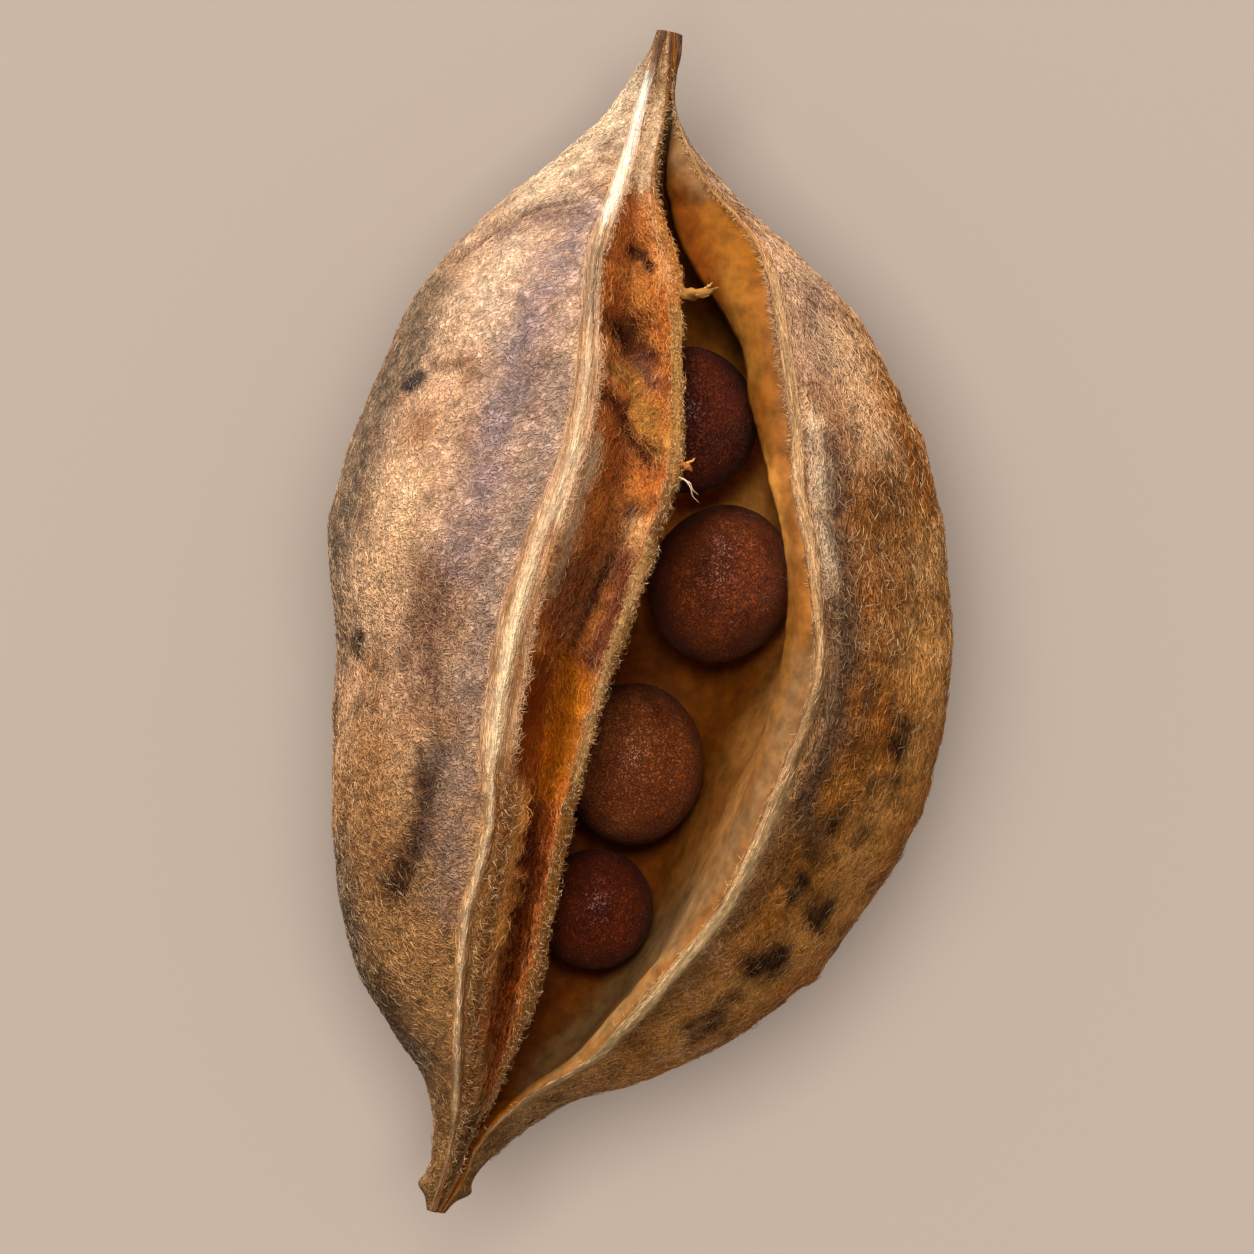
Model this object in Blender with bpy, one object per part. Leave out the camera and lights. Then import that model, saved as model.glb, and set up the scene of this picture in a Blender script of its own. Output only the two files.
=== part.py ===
"""Dried seed pod, split open along its front, with four round seeds in its chamber.

The pod lies on its back. +Y runs along it from the broken stalk to the beak, +Z points
out of the split, and the origin is under the middle of the pod on the surface it lies on.
The husk is one loft of closed sections: outer skin, right rim, seed chamber, septum,
furrow and left rim follow each other round each section, and each is steered by guide
curves that run along the pod.
"""

import math

import bmesh
import bpy
import numpy as np

MM = 0.001

# Driving sizes, in millimetres. A guide is a list of (place along the pod, value).
LENGTH = 100.0
WIDEST_HEIGHT = 17.5
RIM_FOOT = 0.6
RIGHT_EDGE_ROUND = 0.6
SEPTUM_EDGE_WIDTH = 1.1
SEPTUM_LEAN = 0.9
FLOOR_SHARE = 0.66
CHAMBER_REACH_LEFT = 5.6
CHAMBER_EQUATOR = 3.6
FULL_ROOM_DEPTH = 13.0
FURROW_SHARPNESS = 1.5
SEED_GAP = 0.5

# Side outlines: the distance of the outer skin from the line through both tips.
LEFT_OUTLINE = [
    (-50, -0.6), (-48.9, -1.0), (-48, -1.7), (-47, -1.2), (-44, -1.2), (-41.5, -1.8), (-39, -3.2),
    (-36, -6.2), (-32, -9.8), (-28, -12.0), (-22, -13.8), (-16, -15.2), (-11, -16.3), (-5, -17.1),
    (0, -18.6), (4, -19.6), (8, -19.5), (14, -18.7), (20, -17.5), (25, -15.9), (30, -13.3),
    (34, -10.4), (38, -7.1), (42, -4.0), (46, -2.2), (48.6, -1.2), (50, -1.0),
]
RIGHT_OUTLINE = [
    (-50, 1.0), (-48.9, 1.7), (-48, 2.8), (-47.3, 2.7), (-44, 4.4), (-41, 7.0), (-38.5, 10.0),
    (-36.5, 14.0), (-33, 19.3), (-30, 22.6), (-25, 26.9), (-20, 29.4), (-17, 30.6), (-14.5, 32.0),
    (-11, 32.9), (-4, 33.5), (0, 33.6), (5, 32.9), (10, 31.6), (15, 29.9), (20, 27.5), (25, 24.0),
    (30, 19.4), (34, 13.9), (37, 8.8), (40, 5.0), (43, 2.3), (45.5, 1.35), (48.5, 1.4), (50, 1.2),
]
# How far the front and the back stand from the height where the pod is widest.
FRONT_DEPTH = [
    (-50, 1.0), (-47, 1.8), (-44, 2.4), (-40, 4.6), (-36, 7.8), (-30, 11.8), (-24, 14.4), (-16, 16.8),
    (-8, 18.2), (0, 18.5), (8, 18.1), (16, 16.9), (24, 14.5), (30, 11.6), (36, 7.6), (40, 4.6),
    (44, 2.4), (47, 1.6), (50, 1.2),
]
BACK_DEPTH = [
    (-50, 1.0), (-47, 1.8), (-44, 2.5), (-40, 4.8), (-36, 8.2), (-30, 12.4), (-24, 15.2), (-16, 17.3),
    (-8, 17.9), (0, 17.95), (8, 17.8), (16, 16.9), (24, 14.6), (30, 11.8), (36, 7.8), (40, 4.8),
    (44, 2.5), (47, 1.6), (50, 1.2),
]
FRONT_APEX = [
    (-50, 0.2), (-44, 1.3), (-36, 2.4), (-20, 4.2), (0, 4.6), (20, 3.8), (34, 1.6), (44, 0.2), (50, 0.1),
]

# The left rim: a pale band with a ridge along each side.
LEFT_RIM_OUTER = [
    (-50, -0.3), (-46, 0.2), (-41.5, 0.1), (-37.5, -0.5), (-33, -1.0), (-29, -1.4), (-25, -1.8),
    (-19, -1.5), (-15.5, -1.7), (-13.5, -2.3), (-11, -2.9), (-6, -3.2), (-1, -3.4), (4, -2.8),
    (8, -2.2), (12, -1.3), (16, -1.0), (20, -1.1), (24, -1.6), (28, -2.1), (31, -2.4), (34, -2.2),
    (38, -1.7), (44, -1.4), (48, -0.9), (50, -0.6),
]
LEFT_RIM_INNER = [
    (-50, 0.1), (-44, 1.0), (-39.5, 1.4), (-35, 1.0), (-31, 0.6), (-25, 0.3), (-17.5, 0.3),
    (-14, -0.1), (-11, -0.3), (-8, -0.7), (-4, -0.7), (0, -1.1), (4, -0.7), (8, -0.3), (12, 0.1),
    (17, 0.3), (21, 0.0), (24, -0.5), (27.5, -1.2), (31, -1.3), (34, -1.0), (37.5, -0.5),
    (44, -0.6), (48, -0.3), (50, -0.2),
]
# The septum: the wall between the furrow and the seed chamber.
SEPTUM_EDGE = [
    (-50, 0.6), (-47, 1.5), (-44, 1.9), (-41.5, 2.4), (-39.5, 3.2), (-37, 3.7), (-33.5, 4.4),
    (-29, 5.0), (-25, 5.1), (-19, 4.9), (-13, 5.1), (-6, 5.6), (0, 6.3), (6, 7.2), (10, 7.75),
    (13.5, 8.0), (17.5, 7.5), (22, 6.6), (27, 5.6), (29.5, 5.1), (31.5, 4.2), (33.5, 3.0),
    (35.5, 2.0), (38, 1.4), (42, 1.2), (46, 0.9), (50, 0.3),
]
SEPTUM_DROP = [
    (-50, 0.1), (-44, 0.2), (-38, 0.8), (-30, 1.8), (-10, 2.3), (10, 2.0), (24, 1.5), (32, 0.9),
    (37, 0.3), (44, 0.1), (50, 0.1),
]
FURROW_DEPTH = [
    (-50, 0.1), (-44, 0.25), (-41, 0.6), (-39, 2.0), (-36, 5.0), (-31, 7.5), (-24, 8.5), (-18, 7.4),
    (-14.5, 6.0), (-9, 7.8), (-4, 6.6), (-1, 5.4), (4, 6.2), (9, 5.2), (14, 4.6), (17.5, 3.4),
    (20.5, 4.2), (24, 6.4), (27, 4.0), (30, 3.6), (32, 3.2), (34.5, 1.8), (36.5, 0.5), (39, 0.2),
    (50, 0.1),
]
FURROW_FLOOR_SHARE = [
    (-50, 0.5), (-38, 0.66), (-20, 0.64), (-13, 0.5), (-6, 0.36), (4, 0.45), (24, 0.4), (50, 0.5),
]

# The right rim, and the inner lip that slopes from it into the chamber.
RIGHT_RIM = [
    (-50, 0.8), (-47, 2.0), (-44, 2.6), (-41, 4.2), (-38.5, 6.3), (-36.5, 8.4), (-34.5, 10.4),
    (-32, 12.0), (-29.5, 13.5), (-24.5, 16.2), (-19.5, 18.5), (-14.5, 19.8), (-9.5, 20.8),
    (-4.5, 21.8), (-1, 22.2), (2, 21.9), (5, 21.1), (10, 19.5), (14.5, 17.7), (19.5, 16.4),
    (24.5, 14.7), (29.5, 13.0), (31.5, 12.1), (33.5, 10.9), (35.5, 8.8), (37.5, 6.1), (39.5, 4.3),
    (42, 2.7), (44.5, 1.55), (47, 1.2), (50, 0.5),
]
RIGHT_RIDGE = [
    (-50, 0.05), (-44, 0.2), (-36, 0.6), (-20, 0.8), (-4, 0.8), (6, 0.45), (14, 0.2), (26, 0.15),
    (34, 0.35), (40, 0.25), (45, 0.05), (50, 0.05),
]
LIP_WIDTH = [
    (-50, 0.05), (-44, 0.2), (-36, 0.9), (-20, 1.2), (-12, 1.6), (-4, 2.4), (1, 2.4), (5, 1.8),
    (10, 1.5), (15, 1.9), (20, 2.8), (25, 3.0), (28, 4.4), (31, 6.2), (33.5, 6.6), (36, 5.0),
    (38, 3.2), (41, 1.4), (44, 0.3), (50, 0.05),
]
LIP_DEPTH = [
    (-50, 0.1), (-44, 0.4), (-36, 1.6), (-20, 2.2), (0, 3.0), (14, 2.4), (30, 4.2), (36, 3.2),
    (41, 1.4), (50, 0.1),
]
# The chamber's right wall and the line along its floor.
CHAMBER_RIGHT = [
    (-50, 0.7), (-46, 2.4), (-42, 4.2), (-38, 7.0), (-32, 11.4), (-23, 15.0), (-10, 18.0), (0, 20.8),
    (6, 21.6), (12, 20.2), (19, 17.4), (26, 14.4), (32, 11.6), (37, 7.4), (41, 3.9), (46, 1.2), (50, 0.5),
]
CHAMBER_RIGHT_LEVEL = [
    (-50, 17.5), (-40, 17.5), (-30, 19.5), (-20, 22.5), (-10, 22.0), (-2, 18.5), (5, 14.5),
    (12, 13.9), (32, 13.9), (42, 16.5), (50, 17.5),
]
CHAMBER_FLOOR = [
    (-50, 0.6), (-42, 3.0), (-34, 5.6), (-23, 8.0), (-10, 9.4), (6, 12.0), (19, 9.0), (30, 6.6),
    (38, 3.4), (50, 0.4),
]
CHAMBER_OPENNESS = [
    (-50, 0.0), (-47.5, 0.04), (-44, 0.25), (-41.5, 0.6), (-39, 0.95), (-37, 1.0), (37, 1.0),
    (40, 0.95), (42, 0.7), (44, 0.3), (46, 0.03), (50, 0.0),
]
GROOVE_DEPTH = [
    (-50, 0.12), (-47, 0.5), (-43, 1.0), (-38, 1.2), (38, 1.0), (42, 0.9), (45, 0.35), (48, 0.12),
    (50, 0.1),
]

# Swellings and hollows of the skin: place along the pod, place across, radius, height.
SWELLINGS = [
    (7, -13, 9, 0.7), (-9, -13, 6, -0.5), (-19, -9, 8, 0.6), (24, -9, 8, 0.5), (36, -4, 4, -0.4),
    (-3, 27, 9, 0.5), (-17, 28, 5, -0.6), (20, 22, 7, 0.5), (-30, 17, 7, -0.4), (12, 25, 5, -0.4),
]

# How many points each stretch of the section has, and how many sections the loft has.
STRETCHES = {
    "skin_left": 8, "back_left": 7, "back_right": 8, "skin_right": 8, "right_rim": 4, "lip": 2,
    "wall_right": 3, "floor_right": 4, "floor_left": 4, "wall_left": 3, "septum_face": 2,
    "septum_edge": 3, "furrow_right": 4, "furrow_left": 4, "left_rim": 6,
}
STATIONS = 82
TIP_CROWDING = 0.55

# Each seed: centre along the pod and across it, its three radii, and its turn in degrees.
SEEDS = {
    "seed_1": {"along": 18.8, "across": 8.0, "radii": (5.8, 6.2, 5.7), "turn": 20},
    "seed_2": {"along": 5.9, "across": 13.3, "radii": (6.1, 6.8, 6.0), "turn": -12},
    "seed_3": {"along": -10.4, "across": 9.0, "radii": (6.0, 6.9, 6.1), "turn": 8},
    "seed_4": {"along": -22.9, "across": 8.3, "radii": (4.9, 5.1, 4.8), "turn": 0},
}
SEED_SIDES = 24
SEED_RINGS = 14

HUSK_COLOUR = (0.38, 0.25, 0.15, 1.0)
SEED_COLOUR = (0.09, 0.035, 0.022, 1.0)


def guide(points, along):
    """Height of the smooth curve through the points: cubics whose slopes weigh both neighbours."""
    place, value = np.array(points, float).T
    step = np.diff(place)
    rise = np.diff(value) / step
    inner = (step[1:] * rise[:-1] + step[:-1] * rise[1:]) / (step[1:] + step[:-1])
    slope = np.concatenate([rise[:1], inner, rise[-1:]])
    span = np.clip(np.searchsorted(place, along) - 1, 0, len(step) - 1)
    t = (along - place[span]) / step[span]
    a, b = value[span], value[span + 1]
    ma, mb = slope[span] * step[span], slope[span + 1] * step[span]
    return a + t * ma + t**2 * (3 * (b - a) - 2 * ma - mb) + t**3 * (2 * (a - b) + ma + mb)


def station_places():
    """Places of the sections along the pod, closer together near both tips."""
    t = np.linspace(0, 1, STATIONS)
    even = t - 0.5
    crowded = -0.5 * np.cos(math.pi * t)
    return LENGTH * ((1 - TIP_CROWDING) * even + TIP_CROWDING * crowded)


def steps(count, closed=False):
    """Even shares from 0 to 1 as one row. The last is left out unless the stretch is closed."""
    return np.linspace(0, 1, count + (not closed))[: count if not closed else None][None, :]


def bend(start, pull, end, t):
    """Quadratic curve from start to end that leaves and arrives towards the pull point."""
    return tuple((1 - t) ** 2 * s + 2 * t * (1 - t) * p + t**2 * e for s, p, e in zip(start, pull, end))


class Sections:
    """Every section of the husk at once: one row for each station, one column for each point."""

    def __init__(self, along):
        self.along = along[:, None]
        self.left = self.at(LEFT_OUTLINE)
        self.right = self.at(RIGHT_OUTLINE)
        self.front = self.at(FRONT_DEPTH)
        self.back = self.at(BACK_DEPTH)
        self.apex = self.at(FRONT_APEX)
        self.rim_outer = self.at(LEFT_RIM_OUTER)
        self.rim_inner = self.at(LEFT_RIM_INNER)
        self.right_rim = self.at(RIGHT_RIM)
        self.edge = self.at(SEPTUM_EDGE)
        self.room = np.clip(self.back / FULL_ROOM_DEPTH, 0, 1)

    def at(self, points):
        """A guide's value at each station."""
        return guide(points, self.along)

    def skin_height(self, x):
        """Height of the front skin over a place across: a quarter ellipse on each side of the apex."""
        reach = np.where(x < self.apex, self.apex - self.left, self.right - self.apex)
        share = np.clip((x - self.apex) / reach, -1, 1)
        return WIDEST_HEIGHT + self.front * np.sqrt(1 - share**2)

    def skin_front(self, foot, outline, t):
        """Front skin from a rim's foot (t = 0) round to an outline (t = 1)."""
        reach = outline - self.apex
        first = np.arcsin(np.clip((foot - self.apex) / reach, -1, 1))
        turn = first + (math.pi / 2 - first) * t
        return self.apex + reach * np.sin(turn), WIDEST_HEIGHT + self.front * np.cos(turn)

    def skin_back(self, outline, t):
        """Back skin from an outline (t = 0) down to the line under the pod (t = 1)."""
        middle = (self.left + self.right) / 2
        turn = t * math.pi / 2
        return middle + (outline - middle) * np.cos(turn), WIDEST_HEIGHT - self.back * np.sin(turn)

    def swollen(self, x, z):
        """Skin points moved out from the pod's core by the swellings and hollows."""
        push = sum(
            height * np.exp(-((self.along - y0) ** 2 + (x - x0) ** 2) / radius**2)
            for y0, x0, radius, height in SWELLINGS
        ) * np.clip((z - WIDEST_HEIGHT) / 6, 0, 1)
        away = np.hypot(x - self.apex, z - WIDEST_HEIGHT)
        return x + push * (x - self.apex) / away, z + push * (z - WIDEST_HEIGHT) / away

    def skin(self):
        """Outer skin from the left rim round the back to the right rim."""
        left_foot = self.rim_outer - RIM_FOOT * self.room
        right_foot = self.right_rim + RIM_FOOT * self.room
        stretches = [
            self.skin_front(left_foot, self.left, steps(STRETCHES["skin_left"])),
            self.skin_back(self.left, steps(STRETCHES["back_left"])),
            self.skin_back(self.right, 1 - steps(STRETCHES["back_right"])),
            self.skin_front(right_foot, self.right, 1 - steps(STRETCHES["skin_right"])),
        ]
        return [self.swollen(x, z) for x, z in stretches]

    def right_rim_band(self):
        """Right rim: a rounded ridge from its outer foot to its inner edge."""
        t = steps(STRETCHES["right_rim"])
        foot = self.right_rim + RIM_FOOT * self.room
        inner = self.right_rim - RIGHT_EDGE_ROUND * self.room
        x = foot + (inner - foot) * t
        return x, self.skin_height(x) + self.at(RIGHT_RIDGE) * np.sin(math.pi * (0.08 + 0.72 * t))

    def chamber(self):
        """Seed chamber: inner lip, right wall, floor, and left wall up to the septum."""
        start = self.right_rim - RIGHT_EDGE_ROUND * self.room
        edge_z = self.edge_height()
        start_z = self.skin_height(start)
        lip = (start - self.at(LIP_WIDTH), start_z - self.at(LIP_DEPTH))
        floor = WIDEST_HEIGHT - self.back * FLOOR_SHARE
        level = WIDEST_HEIGHT - CHAMBER_EQUATOR * self.room
        right, bottom, shelf = self.at(CHAMBER_RIGHT), self.at(CHAMBER_FLOOR), self.at(CHAMBER_RIGHT_LEVEL)
        left = self.edge - CHAMBER_REACH_LEFT * self.room
        root = (self.edge - SEPTUM_LEAN * self.room, edge_z - 0.62 * (edge_z - level))
        quarter = math.pi / 2
        t = steps(STRETCHES["lip"])
        parts = [bend((start, start_z), ((start + lip[0]) / 2, start_z - 0.2 * self.room), lip, t)]
        t = steps(STRETCHES["wall_right"])
        parts.append(bend(lip, (right, lip[1] - 0.4 * (lip[1] - shelf)), (right, shelf), t))
        t = steps(STRETCHES["floor_right"]) * quarter
        parts.append((bottom + (right - bottom) * np.cos(t), shelf - (shelf - floor) * np.sin(t)))
        t = steps(STRETCHES["floor_left"]) * quarter
        parts.append((bottom + (left - bottom) * np.sin(t), level - (level - floor) * np.cos(t)))
        t = steps(STRETCHES["wall_left"]) * quarter
        parts.append((root[0] + (left - root[0]) * np.cos(t), level + (root[1] - level) * np.sin(t)))
        t = steps(STRETCHES["septum_face"])
        parts.append((root[0] + (self.edge - root[0]) * t**2, root[1] + (edge_z - root[1]) * t))
        x, z = np.hstack([part[0] for part in parts]), np.hstack([part[1] for part in parts])
        return self.narrowed(x, z, start, start_z)

    def narrowed(self, x, z, start, start_z):
        """The chamber closing to a shallow groove between right rim and septum towards both tips."""
        share = np.linspace(0, 1, x.shape[1] + 1)[None, :-1]
        groove_x = start + (self.edge - start) * share
        sag = self.at(GROOVE_DEPTH) * 4 * share * (1 - share)
        groove_z = start_z + (self.edge_height() - start_z) * share - sag
        open_share = np.clip(self.at(CHAMBER_OPENNESS), 0, 1)
        return groove_x + (x - groove_x) * open_share, groove_z + (z - groove_z) * open_share

    def edge_height(self):
        """Height of the septum's edge, which lies a little under the skin's own curve."""
        return self.skin_height(self.edge) - self.at(SEPTUM_DROP)

    def septum_edge(self):
        """Rounded edge of the septum, from its chamber side to its furrow side."""
        t = steps(STRETCHES["septum_edge"])
        width = SEPTUM_EDGE_WIDTH * np.clip(self.room, 0.25, 1)
        return self.edge - width * t, self.edge_height() + 0.3 * self.room * np.sin(math.pi * t)

    def furrow(self):
        """Furrow between septum and left rim: two quarter ellipses, drawn in towards a V."""
        right = self.edge - SEPTUM_EDGE_WIDTH * np.clip(self.room, 0.25, 1)
        right_z = self.edge_height()
        left, left_z = self.rim_inner, self.skin_height(self.rim_inner)
        middle = left + (right - left) * self.at(FURROW_FLOOR_SHARE)
        floor = np.minimum(right_z, left_z) - self.at(FURROW_DEPTH)
        near, far = (steps(STRETCHES[side]) * math.pi / 2 for side in ("furrow_right", "furrow_left"))
        down = (
            middle + (right - middle) * np.cos(near) ** FURROW_SHARPNESS,
            right_z - (right_z - floor) * np.sin(near) ** FURROW_SHARPNESS,
        )
        up = (
            middle + (left - middle) * np.sin(far) ** FURROW_SHARPNESS,
            left_z - (left_z - floor) * np.cos(far) ** FURROW_SHARPNESS,
        )
        return [down, up]

    def left_rim_band(self):
        """Left rim: a low inner ridge, a groove and a higher outer ridge."""
        t = steps(STRETCHES["left_rim"])
        x = self.rim_inner + (self.rim_outer - RIM_FOOT * self.room - self.rim_inner) * t
        ridges = 0.35 * np.exp(-(((t - 0.16) / 0.12) ** 2)) + 0.7 * np.exp(-(((t - 0.68) / 0.16) ** 2))
        return x, self.skin_height(x) + ridges * np.clip(self.room, 0.2, 1)

    def points(self):
        """All points in millimetres, shaped stations x section points x 3, with the flat spot pressed."""
        stretches = [*self.skin(), self.right_rim_band(), self.chamber(), self.septum_edge()]
        stretches += [*self.furrow(), self.left_rim_band()]
        x = np.hstack([part[0] for part in stretches])
        z = np.maximum(np.hstack([part[1] for part in stretches]), 0)
        return np.stack([x, np.broadcast_to(self.along, x.shape), z], axis=-1)


def middle_across():
    """Place across the pod, halfway between its widest points."""
    along = np.linspace(-LENGTH / 2, LENGTH / 2, 401)
    return (guide(LEFT_OUTLINE, along).min() + guide(RIGHT_OUTLINE, along).max()) / 2


def loft_faces(rows, columns):
    """Four-sided faces between neighbouring sections, and a fan of triangles over each end."""
    i = np.arange(rows - 1)[:, None] * columns
    j = np.arange(columns)[None, :]
    k = (j + 1) % columns
    sides = np.stack([i + j, i + columns + j, i + columns + k, i + k], axis=-1).reshape(-1, 4).tolist()
    near, far, last = rows * columns, rows * columns + 1, (rows - 1) * columns
    ends = [(near, a, (a + 1) % columns) for a in range(columns)]
    ends += [(far, last + (a + 1) % columns, last + a) for a in range(columns)]
    return sides + ends


def finish_of(name, colour, roughness):
    """Plain material of one sub-part."""
    material = bpy.data.materials.new(name)
    material.use_nodes = True
    shader = material.node_tree.nodes["Principled BSDF"]
    shader.inputs["Base Color"].default_value = colour
    shader.inputs["Roughness"].default_value = roughness
    material.diffuse_color = colour
    return material


def build_husk(collection, across):
    """The husk as one closed body."""
    points = Sections(station_places()).points()
    rows, columns, _ = points.shape
    ends = [points[0].mean(axis=0), points[-1].mean(axis=0)]
    points = np.vstack([points.reshape(-1, 3), ends]) - (across, 0, 0)
    mesh = bpy.data.meshes.new("husk")
    mesh.from_pydata((points * MM).tolist(), [], loft_faces(rows, columns))
    mesh.update()
    mesh.shade_smooth()
    mesh.materials.append(finish_of("felted_husk", HUSK_COLOUR, 0.9))
    collection.objects.link(bpy.data.objects.new("husk", mesh))


def resting_height(place):
    """Lowest height at which a seed clears the chamber's floor by the seed gap."""
    rx, ry, rz = place["radii"]
    along = np.linspace(-ry, ry, 25)
    sections = Sections(place["along"] + along)
    x, z = sections.chamber()
    reach = np.sqrt(np.clip(1 - (along[:, None] / (ry + SEED_GAP)) ** 2, 0, 1))
    share = np.abs(x - place["across"]) / ((rx + SEED_GAP) * np.maximum(reach, 1e-6))
    under = (share < 1) & (z < WIDEST_HEIGHT - CHAMBER_EQUATOR)
    touch = z + (rz + SEED_GAP) * reach * np.sqrt(np.clip(1 - share**2, 0, 1))
    return touch[under].max()


def build_seed(collection, name, place, material, across):
    """One seed: a round body a little longer along the pod, resting on the chamber's floor."""
    shape = bmesh.new()
    bmesh.ops.create_uvsphere(shape, u_segments=SEED_SIDES, v_segments=SEED_RINGS, radius=1)
    bmesh.ops.scale(shape, vec=[radius * MM for radius in place["radii"]], verts=shape.verts)
    mesh = bpy.data.meshes.new(name)
    shape.to_mesh(mesh)
    shape.free()
    mesh.shade_smooth()
    mesh.materials.append(material)
    seed = bpy.data.objects.new(name, mesh)
    height = resting_height(place)
    seed.location = ((place["across"] - across) * MM, place["along"] * MM, height * MM)
    seed.rotation_euler = (0, 0, math.radians(place["turn"]))
    collection.objects.link(seed)


def main():
    """Clears the scene and builds the pod."""
    for old in list(bpy.data.objects):
        bpy.data.objects.remove(old)
    collection = bpy.data.collections.new("split_seed_pod")
    bpy.context.scene.collection.children.link(collection)
    across = middle_across()
    build_husk(collection, across)
    seed_coat = finish_of("seed_coat", SEED_COLOUR, 0.55)
    for name, place in SEEDS.items():
        build_seed(collection, name, place, seed_coat, across)


main()
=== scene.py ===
"""Looks of a dried, felted seed pod, split open along its front, with four seeds in its chamber.

The husk is a loft of closed sections. One section runs from the left rim's foot round the
back to the right rim, down into the seed chamber, up over the septum's edge, through the
furrow and over the left rim. Guide curves along the pod steer it, relief is raised along
its normals, and colour patches are painted by named shapes: stains, with painted shade in
some hollows and on the sides, and painted light in the deep chamber. Short fibres are grown
on it as small closed spindles. Sizes are in millimetres until a piece's mesh is made. The
pod lies along Y, and its split faces +Z.
"""

from __future__ import annotations

import logging
import math
from collections.abc import Sequence
from dataclasses import dataclass
from enum import Enum
from itertools import product
from types import SimpleNamespace

import bpy
import numpy as np
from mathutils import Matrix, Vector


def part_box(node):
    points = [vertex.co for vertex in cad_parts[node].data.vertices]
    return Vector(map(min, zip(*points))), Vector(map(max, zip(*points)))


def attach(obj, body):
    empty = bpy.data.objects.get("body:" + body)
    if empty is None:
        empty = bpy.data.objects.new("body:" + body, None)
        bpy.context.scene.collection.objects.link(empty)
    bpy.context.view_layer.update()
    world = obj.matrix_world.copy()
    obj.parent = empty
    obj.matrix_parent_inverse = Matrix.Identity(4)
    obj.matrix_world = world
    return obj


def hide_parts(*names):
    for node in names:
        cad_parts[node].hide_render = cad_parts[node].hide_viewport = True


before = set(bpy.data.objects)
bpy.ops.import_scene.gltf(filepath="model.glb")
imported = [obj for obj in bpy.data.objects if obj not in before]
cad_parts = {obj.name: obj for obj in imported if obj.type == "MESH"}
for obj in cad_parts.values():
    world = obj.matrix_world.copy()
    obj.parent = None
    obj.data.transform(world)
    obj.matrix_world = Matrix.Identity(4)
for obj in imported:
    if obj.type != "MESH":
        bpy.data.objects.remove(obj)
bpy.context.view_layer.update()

LOG = logging.getLogger("seed_pod")
MM = 0.001
LENGTH = 100.0
WIDEST_HEIGHT = 17.5
LATTICE_SIDE = 48
FIBRE_GLINT = "FFDCA4"
FIBRE_ROOT_DEPTH = 0.03
Array = np.ndarray
Tree = bpy.types.NodeTree
Socket = bpy.types.NodeSocket
Pair = tuple[Array, Array]
Layers = list[tuple[str, Array]]


def linear(hex_colour: str) -> Array:
    """Turns an sRGB hex colour into linear red, green and blue.

    Args:
        hex_colour: Six hex digits.

    Returns:
        Three values from 0 to 1.
    """
    srgb = np.array([int(hex_colour[i : i + 2], 16) for i in (0, 2, 4)]) / 255
    return np.where(srgb <= 0.04045, srgb / 12.92, ((srgb + 0.055) / 1.055) ** 2.4)


def smooth_step(low: float, high: float, value: Array) -> Array:
    """Cubic rise from 0 at low to 1 at high."""
    t = np.clip((value - low) / (high - low), 0, 1)
    return t * t * (3 - 2 * t)


def bell(value: Array, width: float) -> Array:
    """Bell curve: 1 where value is 0, falling off over width."""
    return np.exp(-((value / width) ** 2))


def noise(places: Array, cell: float, seed: int) -> Array:
    """Smooth random field: random values on a cubic lattice, blended by cubic steps.

    Args:
        places: Points in millimetres, last axis 3.
        cell: Spacing of the lattice.
        seed: Which random lattice.

    Returns:
        Values from -1 to 1, one for each point.
    """
    table = np.random.default_rng(seed).random((LATTICE_SIDE,) * 3) * 2 - 1
    scaled = places / cell
    base = np.floor(scaled).astype(int)
    t = scaled - base
    t = t * t * (3 - 2 * t)
    total = np.zeros(places.shape[:-1])
    for corner in product((0, 1), repeat=3):
        share = np.prod(np.where(corner, t, 1 - t), axis=-1)
        i, j, k = np.moveaxis((base + corner) % LATTICE_SIDE, -1, 0)
        total += share * table[i, j, k]
    return total


def layered_noise(places: Array, cell: float, seed: int) -> Array:
    """Sum of three noise layers, each half as coarse and half as strong as the one before."""
    return sum(noise(places, cell / 2**k, seed + k) / 2**k for k in range(3)) / 1.75


def turned(places: Array, degrees: float, stretch: tuple[float, float]) -> Array:
    """Places turned about Z and squeezed, so that noise on them is drawn out one way.

    Args:
        places: Points, last axis 3.
        degrees: Direction of the long way, from +Y towards +X.
        stretch: How much longer a pattern gets along that way and across it.

    Returns:
        Points on which noise can be read.
    """
    a = math.radians(degrees)
    along = places[..., 0] * math.sin(a) + places[..., 1] * math.cos(a)
    across = places[..., 0] * math.cos(a) - places[..., 1] * math.sin(a)
    return np.stack([across / stretch[1], along / stretch[0], places[..., 2] / stretch[1]], axis=-1)


def from_line(x: Array, y: Array, line: Sequence[tuple[float, ...]]) -> Array:
    """Distance from each place to a broken line through the given points.

    Args:
        x: Places across.
        y: Places along.
        line: Points of the line, at least two.

    Returns:
        A distance for each place.
    """
    nearest = np.full(np.broadcast(x, y).shape, np.inf)
    for (x0, y0), (x1, y1) in zip(line, line[1:]):
        dx, dy = x1 - x0, y1 - y0
        t = np.clip(((x - x0) * dx + (y - y0) * dy) / (dx * dx + dy * dy), 0, 1)
        nearest = np.minimum(nearest, np.hypot(x - x0 - t * dx, y - y0 - t * dy))
    return nearest


def bend(t: Array, start: Array, pull: Array, end: Array) -> Array:
    """A curve from start to end that is drawn towards pull."""
    return (1 - t) ** 2 * start + 2 * t * (1 - t) * pull + t**2 * end


def side_by_side(parts: list[Pair]) -> Pair:
    """Stretches of a section joined into one."""
    return tuple(np.hstack([part[axis] for part in parts]) for axis in (0, 1))


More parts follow.
